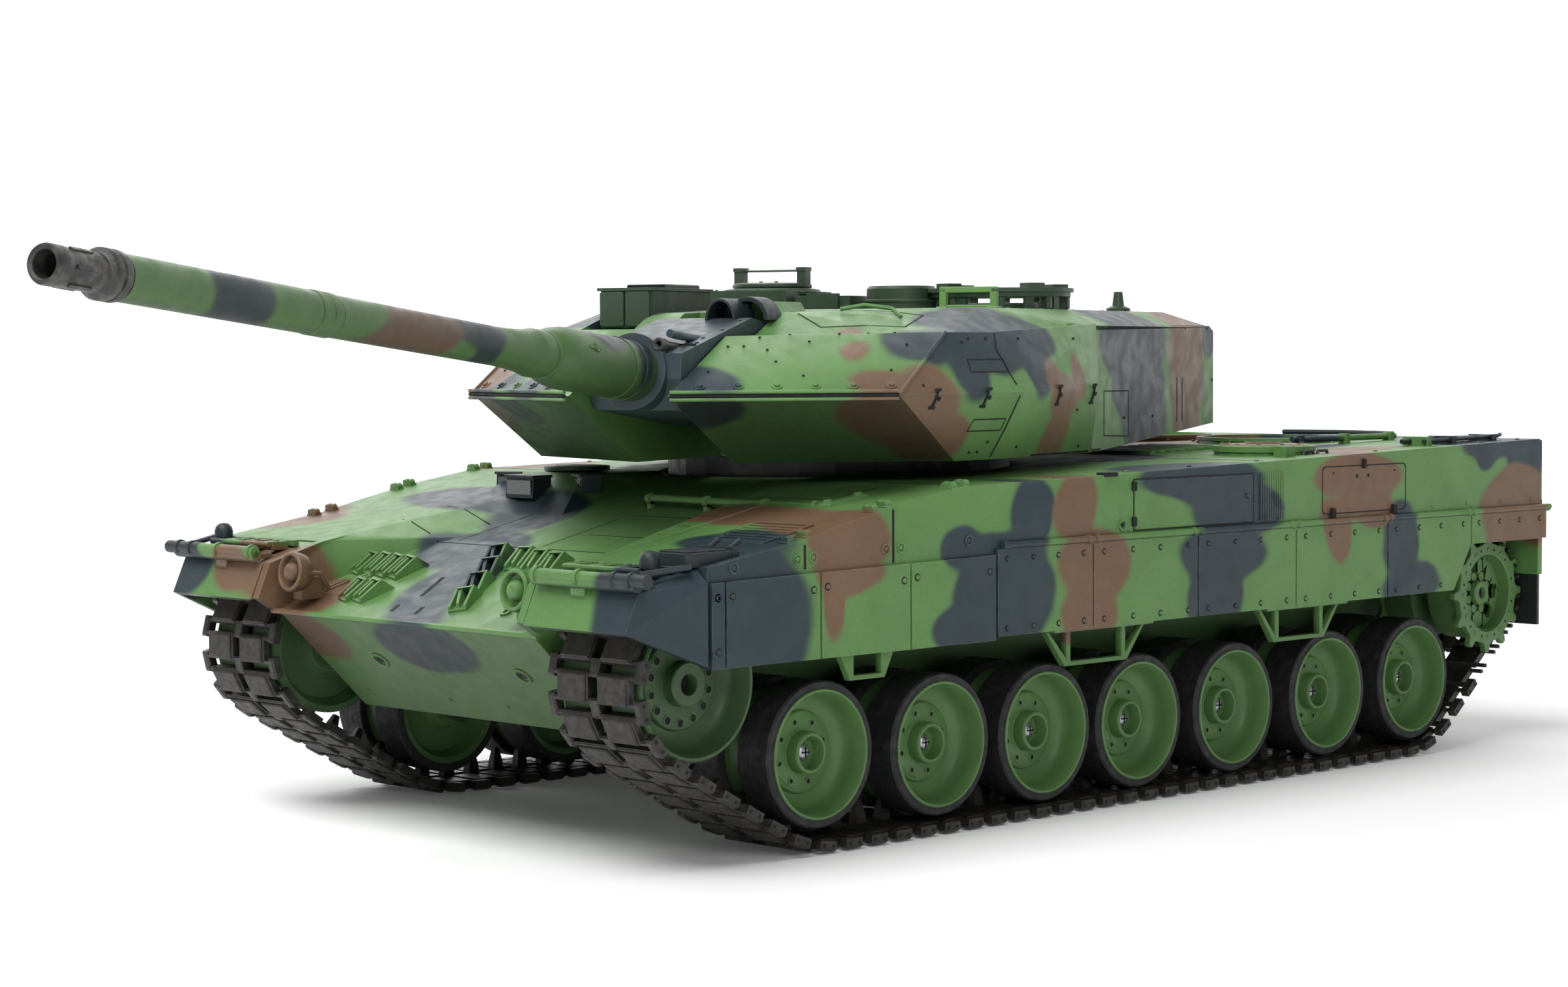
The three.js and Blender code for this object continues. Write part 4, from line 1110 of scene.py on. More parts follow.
bow_parts = Piece("bow_fittings", HULL, CAMO_HULL)
bow_lines_and_shade = Piece("bow_joints_and_shade", HULL, SEAM_AND_SHADE)
bow(bow_parts, bow_lines_and_shade)
bow_parts.done("root", "camo_paint", bevel=0.18, segments=1)
bow_lines_and_shade.done("root", "black_plastic")


def marker_lamp(piece, x, y, z):
    """A small dark width lamp: a barrel body with a domed cap on a foot."""
    body = [(0, -3), (2.0, -3), (2.2, -2.2), (2.9, -1.6), (3.0, 0.8), (2.6, 2.2), (1.6, 3.2), (0, 3.5)]
    lathe(piece, body, move(x, y, z), 0, 20)
    box(piece, x - 2.4, x + 2.4, y - 1.5, y + 5, z - 4.2, z - 2.6)


def mudguard_top(camo, dark):
    """Tubes, clips and a lamp on top of a mudguard."""
    tube(camo, [(68, -204.4, 84.3), (104, -204.4, 84.3)], 1.9, None, 0, 16)
    tube(dark, [(98, -204.4, 84.3), (116.5, -204.4, 84.3)], 2.05, None, 0, 16)
    for x in (70, 88, 103, 110):
        disc(dark if x > 100 else camo, 2.5, -0.7, 0.7, move(x, -204.4, 84.3) @ ALONG_X, 0, 16)
        box(camo, x - 1.1, x + 1.1, -204.4, -197.5, 82.2, 83.9)
    tube(camo, [(72, -196.5, 86.2), (104, -196.5, 86.2)], 1.0)
    for x in (74, 84, 95):
        box(camo, x - 2.6, x + 2.6, -195.5, -189.5, 84.4, 87.2)
        bolt(camo, move(x, -192.5, 87.2), 1.1, 0.5)
    box(camo, 70, 108, -188.6, -186.4, 85.4, 87.4)
    tube(dark, [(108, -200, 85.6), (113.5, -186, 87.4)], 1.0)
    marker_lamp(dark, 103.5, -192.2, 88.4)


def stowage_box(dark):
    """The dark box on the left mudguard, with two short bars at its end."""
    box(dark, 99, 112.4, -187, -168, 87.0, 91.0)
    box(dark, 98.4, 112.8, -169, -166.8, 86.6, 92.0)
    box(dark, 100, 111.4, -185.6, -170.4, 91.0, 91.6)
    for x in (101.5, 110):
        tube(dark, [(x, -168, 91.6), (x + 0.6, -164.6, 93.8)], 0.8, None, 0, 6)


for side, place in SIDES:
    camo = Piece(f"{side}_mudguard_fittings", place, CAMO_HULL)
    dark = Piece(f"{side}_mudguard_lamp", place, DARK_NAVY)
    mudguard_top(camo, dark)
    if side == "left":
        stowage_box(dark)
    camo.done("root", "camo_paint", bevel=0.18, segments=1)
    dark.done("root", "blue_grey", bevel=0.18, segments=1)


# ---- hull roof ----------------------------------------------------------------------------
def periscope(piece, glass, at, width=8.0, depth=6.0, height=5.0):
    """A hooded block with a slanting window, facing local -Y."""
    half, front, back = width / 2, -depth / 2, depth / 2
    profile = ((front, -0.3), (front + 0.6, height - 1), (front + 0.6, height), (back, height), (back, -0.3))
    solid(piece, [(x, y, z) for x in (-half, half) for y, z in profile], at)
    box(piece, -half - 0.4, half + 0.4, front - 0.4, back + 0.3, height - 0.5, height + 0.4, at)
    box(glass, -half + 0.9, half - 0.9, front - 0.12, front + 0.5, 0.9, height - 1.3, at)


def roof_front(camo, dark, glass, lines):
    """The driver's periscopes, the cleaning rod across the roof, and hatches' edges."""
    periscope(dark, glass, move(-45, -113, 99.2), 14, 8, 6.8)
    for x, turn in ((-64, 24), (-26, -24)):
        periscope(dark, glass, move(x, -104, 101) @ turned(turn, "Z"), 9, 7, 5.4)
    tube(camo, [(10, -110, 100.4), (88, -110, 99.8)], 1.25, None, 0, 12)
    for x in (12, 38, 64, 86):
        disc(camo, 1.9, -0.8, 0.8, move(x, -110, 100.1) @ ALONG_X, 0, 12)
        box(camo, x - 0.8, x + 0.8, -111, -109, 96, 100)
    bracket = move(91.5, -113, 99.6) @ turned(8, "X")
    plate(camo, [rounded(-2.6, 2.6, 0, 18, 1.2)], -1.2, 1.6, bracket, 0, 0.3)
    for y in (2.4, 15.4):
        bolt(camo, bracket @ move(0, y, 1.6), 1.4, 0.6, 0, 1.9)
    roof_seam(lines, [(14, -104), (86, -104), (86, -84)], 0.4)
    grille = on_roof(94, -142)
    rim = [rounded(-11, 13, -11, 11, 1.0), rounded(-9.6, 11.6, -9.6, 9.6, 0.4)]
    plate(camo, rim, -0.2, 0.8, grille, 0, 0.15)
    for i in range(7):
        y = -8.6 + 2.6 * i
        box(camo, -9.8, 11.8, y, y + 1.5, -0.2, 0.55, grille)
        # a dark strip as painted shade in the gap between two grille slats
        box(lines, -9.8, 11.8, y + 1.5, y + 2.6, -0.2, 0.1, grille)


def fan_grille(camo, lines, x):
    """Radial blades in the round opening over a cooling fan."""
    y, r = 186, 25
    top = 111.55
    centre = move(x, y, 0)
    # a dark disc under the blades as painted shade inside the fan opening
    disc(lines, r - 0.3, top - 1.4, top - 1.2, centre, 0, 40)
    for angle in turns(26):
        at = centre @ move(0, 0, top - 0.5) @ Matrix.Rotation(angle, 4, "Z") @ turned(28, "X")
        box(camo, 5.0, r - 0.6, -0.35, 0.35, -1.0, 1.0, at)
    for support in (11.5, 18.5):
        ring(camo, support - 0.5, support + 0.5, top - 0.2, top + 0.7, centre, 0, 40)
    ring(camo, r + 0.2, r + 2.4, top + 0.6, top + 1.9, centre, 0, 48)
    for angle in turns(12):
        bolt(camo, centre @ move(*polar(28.8, angle), 111.6), 0.7, 0.5)


def engine_roof(camo, dark, lines):
    """Fans, slatted panels, round intake covers, rails and handles on the rear of the roof."""
    for x in (-31, 31):
        fan_grille(camo, lines, x)
    y0, y1 = 84, 150
    for x0, x1 in ((-56, -4), (4, 56)):
        roof_seam(lines, [(x0, y0), (x1, y0), (x1, y1), (x0, y1), (x0, y0)], 0.4, "engine_deck")
        for i in range(9):
            y = y0 + 9 + 5.6 * i
            box(camo, x0 + 7, x1 - 7, y, y + 2.6, -0.2, 1.0, move(0, 0, 109.3 + (y - y0) * 0.022))
        for x, y in ((x0 + 3, y0 + 3), (x1 - 3, y0 + 3), (x1 - 3, y1 - 3), (x0 + 3, y1 - 3)):
            bolt(camo, on_roof(x, y, "engine_deck"))
    for sx in (-1, 1):
        spot = move(sx * 84, 112, 112.4)
        ring(camo, 15.6, 17.9, -1.6, 0.4, spot, 0, 48)
        ring(camo, 5.2, 6.4, 0.8, 1.5, spot, 0, 28)
        for angle in turns(10, 0.2):
            bolt(camo, spot @ move(*polar(13.2, angle), 0.9), 0.7, 0.5)
        tube(camo, [(sx * 68, y, 113.6) for y in (150, 182, 214)], 1.2, None, 0, 10)
        for y in (154, 182, 210):
            box(camo, sx * 68 - 1.9, sx * 68 + 1.9, y - 1.2, y + 1.2, 110.6, 115.1)
        box(camo, sx * 103 - 2.6, sx * 103 + 2.6, 95.4, 101, 109, 113.2)
        for y in (112, 120):
            handle = ((y - 3, 109.6), (y - 2.6, 111.2), (y + 2.6, 111.2), (y + 3, 109.6))
            tube(dark, [(sx * 103, *p) for p in handle], 0.6, segments=6)
        tools(dark, camo, sx)
        for y in (-30, 4, 36, 72, 140, 176, 206, 230):
            bolt(camo, on_roof(sx * 111, y), 0.8, 0.5)
    for y in (-74, 74):
        roof_seam(lines, [(-112, y), (-70, y)], 0.4)
        roof_seam(lines, [(70, y), (112, y)], 0.4)
    tube(dark, [(0, 236.5, 113.6), (28, 236.5, 113.8), (52, 236.5, 113.6)], 1.0)


def tools(dark, camo, sx):
    """A spade and a crowbar clipped to the shelf beside the engine deck."""
    x = sx * 100
    tube(dark, [(x, 172, 112.9), (x, 200, 113.6)], 1.0)
    blade = ((-3.6, 200), (3.6, 200), (4.0, 210), (2.4, 217), (-2.4, 217), (-4.0, 210))
    slab(dark, [(x + across, y) for across, y in blade], 113.0, 114.2)
    bar = x + sx * 6.4
    tube(dark, [(bar, 176, 113.0), (bar, 224, 114.0), (x + sx * 5, 228, 114.4)], 0.8)
    for y in (178, 194, 220):
        box(camo, x - 3, x + 8 if sx > 0 else x + 3, y - 1, y + 1, 111, 114.6)


roof_camo = Piece("hull_roof_fittings", HULL, CAMO_HULL)
roof_dark = Piece("hull_roof_dark_parts", HULL, DARK_NAVY)
roof_glass = Piece("driver_periscope_windows", HULL, LENS)
roof_lines_and_shade = Piece("hull_roof_joints_and_shade", HULL, SEAM_AND_SHADE)
roof_front(roof_camo, roof_dark, roof_glass, roof_lines_and_shade)
engine_roof(roof_camo, roof_dark, roof_lines_and_shade)
roof_camo.done("root", "camo_paint", bevel=0.15, segments=1)
roof_dark.done("root", "blue_grey", bevel=0.2, segments=1)
roof_glass.done("root", "lens")
roof_lines_and_shade.done("root", "black_plastic")


# ---- rear plate ---------------------------------------------------------------------------
def facing_back(y):
    """Local X to the right, Y up and Z backward, as a plane at y is seen from behind."""
    return Matrix(((-1, 0, 0, 0), (0, 0, 1, y), (0, 1, 0, 0), (0, 0, 0, 1)))


def rear(camo, dark, lines):
    """Exhaust louvres, tail lamps, tow eyes with short bars and a hitch on the rear plate."""
    back = facing_back(REAR_Y)
    for sx in (-1, 1):
        x = sx * 38
        rim = [rounded(x - 20, x + 20, 88, 108, 2), rounded(x - 17.5, x + 17.5, 90.5, 105.5, 1)]
        plate(camo, rim, -0.2, 1.6, back, 0, 0.3)
        # a dark sheet behind the slats as painted shade in the louvre
        box(lines, x - 17.6, x + 17.6, 90.4, 105.6, -0.2, 0.15, back)
        for i in range(7):
            z = 91.0 + 2.1 * i
            box(camo, x - 17.6, x + 17.6, z, z + 1.0, 0.0, 1.3, back)
        lamp = back @ move(sx * 92, 99, 0)
        cup = [(0, -0.2), (5.6, -0.2), (5.6, 1.6), (5.0, 2.2), (4.4, 2.2), (4.4, 1.2), (0, 1.2)]
        lathe(camo, cup, lamp, 0, 32)
        lathe(dark, [(3.9, 1.0), (3.7, 1.9), (2.4, 2.6), (0, 2.8)], lamp, 0, 24)
        box(camo, sx * 92 - 6.8, sx * 92 + 6.8, 105.2, 106.6, 0, 4.2, back)
        eye = back @ move(sx * 48, 56, 0)
        lug = [rounded(-5, 5, -6, 6, 3), circle(2.2, count=20)]
        plate(camo, lug, 1.6, 3.2, eye @ turned(90, "Y"))
        plate(camo, [rounded(-6, 6, -8, 8, 1.5)], -0.2, 1.0, eye, 0, 0.25)
        for dx, dz in ((-4.4, -6), (4.4, -6), (-4.4, 6), (4.4, 6)):
            bolt(camo, eye @ move(dx, dz, 1.0), 0.9, 0.5)
        bar = ((20, 66, 1.4), (34, 63, 1.8), (46, 66, 1.4))
        tube(dark, [back @ Vector((sx * x, y, z)) for x, y, z in bar], 1.0)
    hitch = back @ move(0, 58, 0)
    plate(camo, [rounded(-8, 8, -7, 7, 2)], -0.2, 1.2, hitch, 0, 0.25)
    lathe(dark, [(0, 0), (3.4, 0), (3.4, 2.6), (2.2, 3.4), (2.2, 3.8), (0, 3.8)], hitch, 0, 24)
    box(lines, -0.25, 0.25, 86, 112, -0.1, 0.12, back)
    box(lines, -114, 114, 84.3, 84.8, -0.1, 0.12, back)
    for x in (-108, -90, -72, 72, 90, 108):
        for z in (109, 87.6):
            bolt(camo, back @ move(x, z, 0), 0.7, 0.4)


rear_camo = Piece("rear_fittings", HULL, CAMO_HULL)
rear_dark = Piece("rear_lamps_and_cable", HULL, DARK_NAVY)
rear_lines_and_shade = Piece("rear_joints_and_shade", HULL, SEAM_AND_SHADE)
rear(rear_camo, rear_dark, rear_lines_and_shade)
rear_camo.done("root", "camo_paint", bevel=0.15, segments=1)
rear_dark.done("root", "blue_grey")
rear_lines_and_shade.done("root", "black_plastic")


# ---- turret -------------------------------------------------------------------------------
shell("turret_shell", CAMO_TURRET, 0.5)
shell("gunner_sight", DARK_GREEN, 0.6)
shell("loader_hatch", DARK_GREEN, 0.4)
shell("panoramic_sight", DARK_GREEN, 0.4)
shell("loader_rail", DARK_GREEN, 0.25)


def on_turret(y, z, side=1):
    """A place on the turret's side wall."""
    return stick("turret_shell", TURRET, (side * SIDE_X, y, z), (-side, 0, 0))


def on_wedge(x, y):
    """A place on the sloping top of a front wedge, or on the roof."""
    return stick("turret_shell", TURRET, (x, y, SKY_Z), DOWN, (0, 1, 0))


def side_seam(lines, points, side, width=0.55):
    seam(lines, [(side * SIDE_X, y, z) for y, z in points], "turret_shell", TURRET, (-side, 0, 0), width)


def top_seam(lines, points, width):
    """A joint line on the turret's roof, through points given from above."""
    seam(lines, [(x, y, SKY_Z) for x, y in points], "turret_shell", TURRET, DOWN, width)


def turret_side(camo, lines, side):
    """Joints, handles, rivets and outlines on one side wall of the turret."""
    joint = [(-56, 151.4), (-59, 147), (-58, 140), (-56, 132), (-56, 122), (-57, 113.5)]
    side_seam(lines, joint, side, 0.75)
    for low, high, shift in ((139.8, 143.6, 0), (121.6, 125.2, 2)):
        corners = [(-77 + shift, low), (-58, low), (-58, high), (-76 + shift, high), (-77 + shift, low)]
        side_seam(lines, corners, side, 0.45)
    for y in (-98, -73, -26, 3):
        spot = on_turret(y, 132.0, side)
        handle = [(0.9 * math.cos(a) - 0.9, 3.1 * math.sin(a), 0.1) for a in (-1.2, -0.6, 0, 0.6, 1.2)]
        tube(lines, handle, 0.5, spot, 0, 6)
        disc(lines, 0.75, -0.1, 0.35, spot @ move(1.6, 0, 0), 0, 10)
        for up in (-3.0, 3.0):
            box(lines, -1.8, 1.0, up - 0.45, up + 0.45, -0.1, 0.4, spot)
    hatch = [(34, 132.4), (58.6, 132.2), (58.6, 116.6), (34, 117.4), (34, 132.4)]
    side_seam(lines, hatch, side, 0.45)
    for y in (110.6, 116.4):
        side_seam(lines, [(y, 136), (y, 121)], side, 0.7)
    rivets = ((-103, 136), (-75, 149), (-71, 150), (-62, 150), (-42, 150), (-4, 150), (-69, 115),
              (-65, 115), (-62, 118), (-43, 116), (1, 115), (-8, 127), (84, 123), (151, 135), (54, 123))
    for y, z in rivets:
        bolt(lines, on_turret(y, z, side), 0.5, 0.35)
    side_seam(lines, [(-30, 112.9), (30, 112.9)], side, 0.7)
    for y in (30, 60, 90, 120, 145):
        bolt(camo, on_turret(y, 154, side), 0.5, 0.3)


def wedge(camo, lines, side):
    """Washer bolts, rivets and the double lip along a front wedge."""
    for x, y in ((22.5, -145.4), (32, -139), (41.5, -132.6), (51, -126.3), (60.5, -120), (70, -113.6)):
        bolt(camo, on_wedge(side * x, y), 0.95, 0.6, 0, 1.75)
    for x, y in ((20, -122), (24, -119.4), (31, -117.6), (36, -122), (21, -137), (26, -112.6), (46, -124),
                 (67, -107), (66, -93), (60, -88.6), (46, -98.4), (40, -107), (53, -92.6), (33, -106)):
        bolt(lines, on_wedge(side * x, y), 0.45, 0.32)
    inner, outer = Vector((side * 17.4, -154.7, 133.4)), Vector((side * 73.7, -116.8, 133.4))
    ahead = Vector((side * 0.56, -0.83, 0))
    for rise in (1.1, -1.1):
        bar = [p + ahead * 0.5 + Vector((0, 0, rise)) for p in (inner, (inner + outer) / 2, outer)]
        tube(camo, bar, 0.62)
    tube(lines, [p + ahead * 0.45 for p in (inner, (inner + outer) / 2, outer)], 0.55, None, 0, 6)
    rear = Vector((side * 89, -54.7, 133.4))
    top = Vector((side * 73.6, -81, 152))
    tube(camo, [outer, (outer + top) / 2, top], 0.55)
    tube(camo, [outer, (outer * 2 + rear) / 3], 0.2, None, 0, 6)


turret_camo = Piece("turret_fittings", TURRET, CAMO_TURRET)
turret_lines = Piece("turret_joints", TURRET, SEAM_AND_SHADE)
for side in (-1, 1):
    turret_side(turret_camo, turret_lines, side)
    wedge(turret_camo, turret_lines, side)


# ---- turret roof --------------------------------------------------------------------------
ROOF = 160                       # the turret roof's height over the floor
CUPOLA = move(-42, 35, 0)
LOADER = move(45, 35, 0)


def arch(piece, x, y, z, width, length, height, band=1.6):
    """A half-round hood open at the front, like a short tunnel, running along Y."""
    angles = [math.pi * i / 12 for i in range(13)]
    outer = [(x + width / 2 * math.cos(a), z + height * math.sin(a)) for a in angles]
    inner = [(x + (width / 2 - band) * math.cos(a), z + (height - band) * math.sin(a)) for a in angles]
    slab(piece, outer + inner[::-1], -y - length, -y, XZ)


def sight_doors(dark, glass):
    """Front doors, a seam and edge trim on the gunner's sight."""
    for x0, x1 in ((-52.6, -43.9), (-43.3, -34.4)):
        plate(dark, [rounded(x0, x1, 154.6, 166.0, 0.8)], 69.9, 71.0, XZ, 0, 0.25)
    box(dark, -53.6, -33.4, -71.2, -27.4, 166.2, 167.2)
    box(dark, -53.8, -52.9, -69, -30, 155, 165.6)
    box(glass, -50.4, -36.6, -56.4, -55.8, 166.9, 168.3)
    for x in (-51.6, -44.8, -42.4, -35.4):
        bolt(dark, move(x, -70.9, 157) @ turned(90, "X"), 0.4, 0.3)


def cupola(dark, glass):
    """The commander's cupola: a boxy ring of periscopes round the hatch."""
    lathe(dark, [
        (11.6, ROOF), (19.4, ROOF), (19.4, 161.4), (17.6, 162), (17.6, 167.2), (16.8, 168.2), (14.6, 168.5),
        (11.6, 168.5),
    ], CUPOLA, 0, 48)
    for angle in turns(8, 0.2):
        at = CUPOLA @ Matrix.Rotation(angle, 4, "Z") @ move(0, -17.4, 161.6)
        periscope(dark, glass, at, 8.6, 5.4, 5.2)
    box(dark, -58.5, -25.5, 12, 27, 160.2, 167.6)
    for x in (-54, -46, -38, -30):
        bolt(dark, move(x, 15, 167.6), 0.6, 0.4)


def drum(dark):
    """Bands on the low round housing beside the cupola, and its side boxes."""
    centre = move(12, 26, 0)
    body = [(0, ROOF), (12.6, ROOF), (12.6, 163.4), (12.0, 164.0), (12.0, 167.6), (11.2, 168.6), (0, 168.8)]
    lathe(dark, body, centre, 0, 48)
    ring(dark, 12.4, 13.0, 163.0, 163.8, centre, 0, 48)
    box(dark, -23, -2, 14, 30, ROOF, 165.4)
    box(dark, -18, -6, 12.6, 14.4, 161, 166.2)


def loader_gear(dark):
    """A run of upright posts, blocks and a plate ring round the loader's hatch."""
    ring(dark, 19.2, 25.2, 166.0, 167.4, LOADER, 0, 48)
    on_ring = move(22.2, 0, 0)
    for angle in turns(12, 0.3):
        at = LOADER @ Matrix.Rotation(angle, 4, "Z") @ on_ring
        box(dark, -1.0, 1.0, -1.6, 1.6, ROOF, 166.4, at)
    for angle in (0.9, 2.6, 4.2, 5.6):
        at = LOADER @ Matrix.Rotation(angle, 4, "Z") @ on_ring
        box(dark, -3.0, 3.0, -3.2, 3.2, 167.2, 169.0, at)


def grab_frame(camo):
    """A square handle standing on the roof."""
    for x in (41, 59):
        box(camo, x - 1.2, x + 1.2, -6.4, -4.0, 158.6, 167.0)
        box(camo, x - 2.0, x + 2.0, -7.4, -3.0, 159.6, 160.9)
    box(camo, 39.8, 60.2, -6.4, -4.0, 165.4, 167.4)
    box(camo, 41, 59, -6.0, -4.4, 160.2, 161.4)


def roof_details(camo, lines, dark):
    """Joint lines, bolts, handles and two aerial feet on the turret's roof."""
    top_seam(lines, [(58, -62), (24, -66), (20, -78), (34, -86), (58, -76), (58, -62)], 0.5)
    spot = on_wedge(44, -70)
    tube(camo, [(-10, -2, 1.0), (-4, 3, 2.0), (5, 4, 2.0), (10, 0, 1.0)], 0.7, spot, 0, 8)
    edges = [(x, y) for x in (-62, 62) for y in (-30, 0, 30, 60, 90, 120)]
    edges += [(x, 138) for x in (-50, -25, 0, 25, 50)]
    for x, y in edges:
        bolt(camo, on_wedge(x, y), 0.7, 0.45)
    for x in (-40, 0, 40):
        top_seam(lines, [(x, 68), (x, 136)], 0.45)
    top_seam(lines, [(-60, 68), (60, 68)], 0.45)
    for x in (-20, 20):
        tube(camo, [(x - 7, 100, ROOF), (x - 6, 100, 163), (x + 6, 100, 163), (x + 7, 100, ROOF)], 0.7)
    foot = [(0, ROOF), (4.4, ROOF), (4.4, 161.4), (2.2, 162.4), (1.6, 167.4), (0, 167.6)]
    for x in (58, -58):
        lathe(dark, foot, move(x, 118, 0), 0, 20)


def bustle_rear(camo, lines, dark):
    """Three frames with dark blocks, a thin line and bolts on the back of the turret."""
    back = facing_back(152.6)
    for x0, x1 in ((-78, -30), (-26, 26), (30, 78)):
        rim = [rounded(x0, x1, 122, 150, 2), rounded(x0 + 2.4, x1 - 2.4, 124.4, 147.6, 1.4)]
        plate(camo, rim, -0.2, 1.0, back, 0, 0.25)
        for x in (x0 + 6, x1 - 6):
            box(dark, x - 1.6, x + 1.6, 146, 151, 0.8, 2.4, back)
        box(lines, x0 + 3, x1 - 3, 135.6, 136.2, -0.1, 0.1, back)
    for x in (-70, -50, 50, 70):
        bolt(camo, back @ move(x, 129, 0), 0.8, 0.5)


turret_dark = Piece("turret_dark_fittings", TURRET, DARK_GREEN)
turret_glass = Piece("turret_windows", TURRET, LENS)
sight_doors(turret_dark, turret_glass)
cupola(turret_dark, turret_glass)
drum(turret_dark)
loader_gear(turret_dark)
roof_details(turret_camo, turret_lines, turret_dark)
bustle_rear(turret_camo, turret_lines, turret_dark)
turret_camo.done("turret", "camo_paint", bevel=0.12, segments=1)
turret_lines.done("turret", "black_plastic")
turret_dark.done("turret", "dark_green", bevel=0.2, segments=1)
turret_glass.done("turret", "lens")

frame_green = Piece("roof_grab_frame", TURRET, LIGHT_GREEN)
grab_frame(frame_green)
frame_green.done("turret", "camo_paint", bevel=0.3)

hood = Piece("front_roof_hood", TURRET, DARK_NAVY)
arch(hood, 6.5, -101, 156.0, 10.5, 14, 6.8, 0.9)
arch(hood, 11.5, -92, 156.0, 14.5, 10, 7.4, 1.5)
box(hood, 2.4, 10.6, -90, -88, 155, 161.4)
hood.done("turret", "blue_grey", bevel=0.2)

hatch_lid = Piece("commander_hatch_lid", TURRET, DARK_GREEN)
LID_PROFILE = ((0, 168.7), (14.0, 168.7), (14.2, 169.2), (14.0, 170.0), (12.6, 170.5), (0, 170.7))
lathe(hatch_lid, LID_PROFILE, CUPOLA, 0, 40)
for x in (-12.4, 12.4):
    box(hatch_lid, x - 1.7, x + 1.7, -2.2, 2.2, 170.0, 175.6, CUPOLA)
    box(hatch_lid, x - 1.9, x + 1.9, -2.6, 2.6, 174.6, 176.0, CUPOLA)
tube(hatch_lid, [(-12, 0, 174.8), (12, 0, 174.8)], 0.42, CUPOLA, 0, 8)
for x in (-6, 0, 6):
    bolt(hatch_lid, CUPOLA @ move(x, -9, 170.6), 0.7, 0.4)
hatch_lid.done("commander_hatch", "dark_green", "commander_hatch", bevel=0.25)


# ---- gun ----------------------------------------------------------------------------------
shell("mantlet", BLUE_GREY, 0.5)

BARREL_PROFILE = (
    (3.3, 57), (8.6, 53.6), (9, 54.2), (9, 96), (8.9, 98), (8.2, 103), (7.1, 106), (6.9, 106.4),
    (6.9, 107.2), (6.2, 107.4), (6.2, 108.8), (6.9, 109), (6.9, 114), (6.7, 115), (6.1, 118), (5.6, 126),
    (5.4, 132), (5.45, 212), (5.45, 212.4), (5.2, 212.5), (5.2, 213.1), (5.75, 213.2), (5.75, 216.6),
    (5.5, 216.7), (5.5, 217.2), (5.75, 217.3), (5.75, 221), (5.3, 221.2), (5.3, 221.8), (5.55, 222),
    (5.6, 296.4),
)
MUZZLE_PROFILE = (
    (5.55, 296.4), (5.3, 296.5), (5.3, 297.1), (6.0, 297.3), (6.1, 297.8), (6.1, 299.6), (5.6, 299.8),
    (5.6, 300.3), (6.1, 300.5), (6.1, 302.6), (5.7, 303.2), (4.7, 303.9), (4.6, 304.4), (4.6, 316.2),
    (4.75, 316.6), (4.75, 320.9), (4.5, 321.4), (3.7, 321.5), (3.3, 321.0), (3.3, 57),
)


def gun_tube(camo, metal):
    """The barrel with its sleeve and clamps, and the dark muzzle section."""
    along = turned(90, "X")
    lathe(camo, BARREL_PROFILE, along, 0, 64)
    lathe(metal, MUZZLE_PROFILE, along, 0, 64)
    for angle in (2.1, 2.9, 3.8, 0.4):
        at = along @ Matrix.Rotation(angle, 4, "Z")
        box(camo, 8.7, 9.35, -0.5, 0.5, 88, 94, at)
        box(camo, 8.7, 9.6, -1.3, 1.3, 89.8, 90.8, at)
    ring(camo, 8.8, 9.25, 60, 61, along, 0, 64)
    ring(camo, 8.8, 9.25, 66, 67, along, 0, 64)
    for angle in turns(6):
        at = along @ Matrix.Rotation(angle, 4, "Z")
        box(metal, 4.4, 5.0, -0.5, 0.5, 308, 315.4, at)


tube_camo = Piece("barrel_tube", GUN, CAMO_GUN)
tube_metal = Piece("muzzle_sleeve", GUN, GUN_METAL)
gun_tube(tube_camo, tube_metal)
tube_camo.done("gun", "camo_paint", "barrel")
tube_metal.done("gun", "gun_metal")


def mantlet_parts(grey, metal, lines):
    """The second gun's tube, plate edges and bolts on the mantlet."""
    along = turned(90, "X")
    at = move(8.8, 0, 8.0) @ along
    mouth = [
        (0.9, 26), (1.6, 26), (1.6, 51.6), (2.1, 51.8), (2.1, 54.2), (1.7, 54.5), (1.0, 54.4), (0.9, 46),
        (0, 46),
    ]
    lathe(metal, mouth, at, 0, 20)
    lathe(grey, [(0, 26), (2.6, 26), (2.6, 33), (1.5, 38)], at, 0, 20)
    for x in (-13, -5, 4, 13):
        bolt(grey, stick("mantlet", GUN, (x, -34, 40), DOWN, (0, 1, 0)), 0.6, 0.4)
    for y in (-40, -24, -12):
        bolt(grey, stick("mantlet", GUN, (14.2, y, 40), DOWN, (0, 1, 0)), 0.55, 0.4)
    ring(grey, 8.6, 11.4, 46, 54.2, along, 0, 56)
    box(lines, -15.6, 15.6, -43.6, -43.2, 8.0, 9.2)


gun_grey = Piece("mantlet_fittings", GUN, BLUE_GREY)
gun_metal = Piece("second_gun_tube", GUN, GUN_METAL)
gun_lines = Piece("mantlet_joints", GUN, SEAM_AND_SHADE)
mantlet_parts(gun_grey, gun_metal, gun_lines)
gun_grey.done("gun", "blue_grey")
gun_metal.done("gun", "gun_metal")
gun_lines.done("gun", "black_plastic")


# ---- inner works --------------------------------------------------------------------------
for node in ("turret_ring", "turret_drive", "gun_lift_unit", "speaker"):
    refinish(node, PLASTIC)
refinish("drive_gearbox", STEEL)
refinish("battery_pack", WRAP)
refinish("control_board", BOARD)


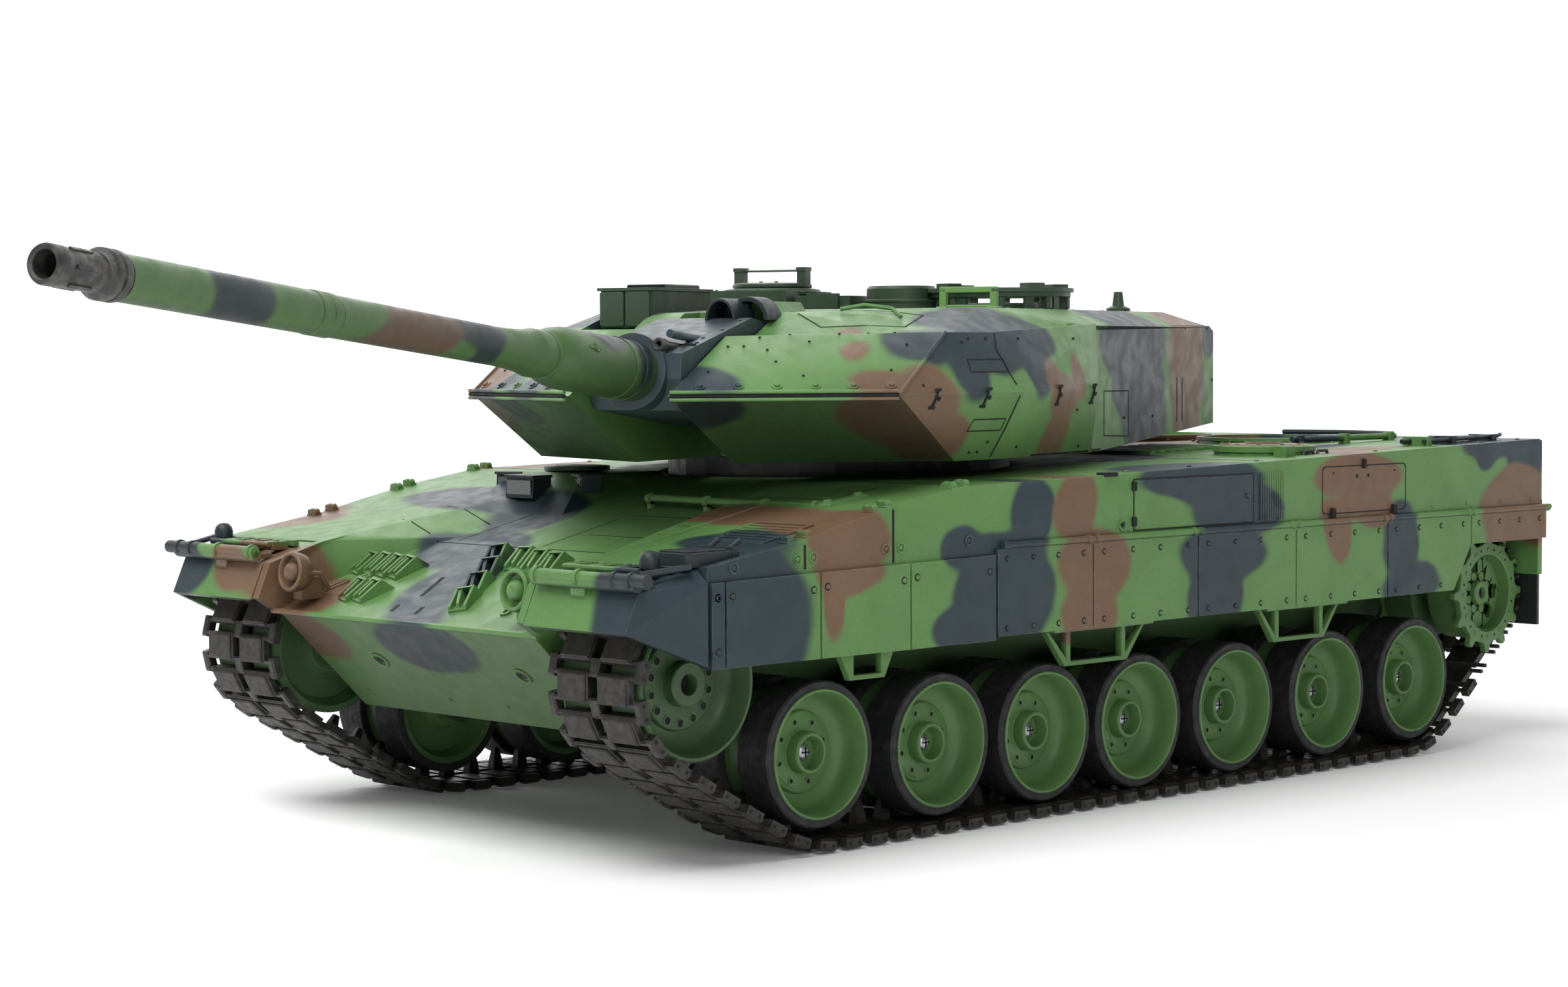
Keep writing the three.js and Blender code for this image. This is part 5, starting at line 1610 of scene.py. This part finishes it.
# ---- floor, light and camera --------------------------------------------------------------
def backdrop():
    """A white sweep: a floor that curves up into a wall well behind the tank."""
    near, far, half, bend, height = -6.0, 5.0, 12.0, 2.0, 7.0
    line = [(near, 0.0), (far - bend, 0.0)]
    line += [
        (far - bend + bend * math.sin(a), bend - bend * math.cos(a))
        for a in (math.radians(6 * i) for i in range(1, 16))
    ]
    line.append((far, height))
    turn = Matrix.Rotation(math.radians(45.7), 3, "Z")
    points = [turn @ Vector((x, y, z)) for y, z in line for x in (-half, half)]
    faces = [(2 * i, 2 * i + 1, 2 * i + 3, 2 * i + 2) for i in range(len(line) - 1)]
    mesh = bpy.data.meshes.new("floor")
    mesh.from_pydata(points, [], faces)
    for polygon in mesh.polygons:
        polygon.use_smooth = True
    sweep = Finish("studio_floor", 0.9)
    distance = sweep.node("ShaderNodeVectorMath", {0: sweep.position}, operation="LENGTH").outputs["Value"]
    glow = sweep.ramp(distance, 0.3, 1.6, 0.04, 1.0)
    sweep.shader.inputs["Emission Color"].default_value = (1, 1, 1, 1)
    sweep.tree.links.new(glow, sweep.shader.inputs["Emission Strength"])
    mesh.materials.append(sweep.paint(sweep.vary(srgb(246, 246, 246), 400.0, 0.01)))
    floor = bpy.data.objects.new("floor", mesh)
    bpy.context.scene.collection.objects.link(floor)


def softbox(name, place, aim, size, power):
    light = bpy.data.lights.new(name, "AREA")
    light.shape = "RECTANGLE"
    light.size, light.size_y = size
    light.energy = power
    holder = bpy.data.objects.new(name, light)
    holder.location = place
    holder.rotation_mode = "QUATERNION"
    holder.rotation_quaternion = (Vector(aim) - Vector(place)).to_track_quat("-Z", "Y")
    bpy.context.scene.collection.objects.link(holder)


def studio():
    """A dim white world and three soft lights."""
    world = bpy.data.worlds.new("studio")
    world.use_nodes = True
    world.node_tree.nodes["Background"].inputs["Color"].default_value = (1, 1, 1, 1)
    world.node_tree.nodes["Background"].inputs["Strength"].default_value = 0.1
    bpy.context.scene.world = world
    bpy.context.scene.view_settings.view_transform = "Standard"
    centre = (0, 0, 0.08)
    softbox("overhead", (0.1, -0.75, 1.45), centre, (1.2, 1.0), 27)
    softbox("far_side", (-1.15, 0.45, 1.05), centre, (1.5, 0.9), 6)
    softbox("near_side", (1.5, -0.75, 0.8), centre, (0.9, 0.6), 8)


CAMERA = (733.7, -753.0, 146.6)   # in the hull's frame
CAMERA_YAW = math.radians(45.70)
CAMERA_PITCH = math.radians(2.82)
CAMERA_ROLL = math.radians(-0.274)
LENS_MM = 70.4
SHIFT = (-0.0039, 0.0052)


def camera():
    """A long lens at the photograph's angle."""
    back = Vector((
        math.sin(CAMERA_YAW) * math.cos(CAMERA_PITCH),
        -math.cos(CAMERA_YAW) * math.cos(CAMERA_PITCH),
        math.sin(CAMERA_PITCH),
    ))
    right = (-back).cross(Vector((0, 0, 1))).normalized()
    above = back.cross(right)
    across = right * math.cos(CAMERA_ROLL) + above * math.sin(CAMERA_ROLL)
    upward = back.cross(across)
    turn = Matrix((across, upward, back)).transposed().to_4x4()
    data = bpy.data.cameras.new("camera")
    data.lens = LENS_MM
    data.sensor_width = 36.0
    data.shift_x, data.shift_y = SHIFT
    data.clip_start, data.clip_end = 0.01, 60.0
    view = bpy.data.objects.new("camera", data)
    view.matrix_world = Matrix.Translation(HULL @ Vector(CAMERA)) @ turn
    bpy.context.scene.collection.objects.link(view)
    bpy.context.scene.camera = view


backdrop()
studio()
camera()
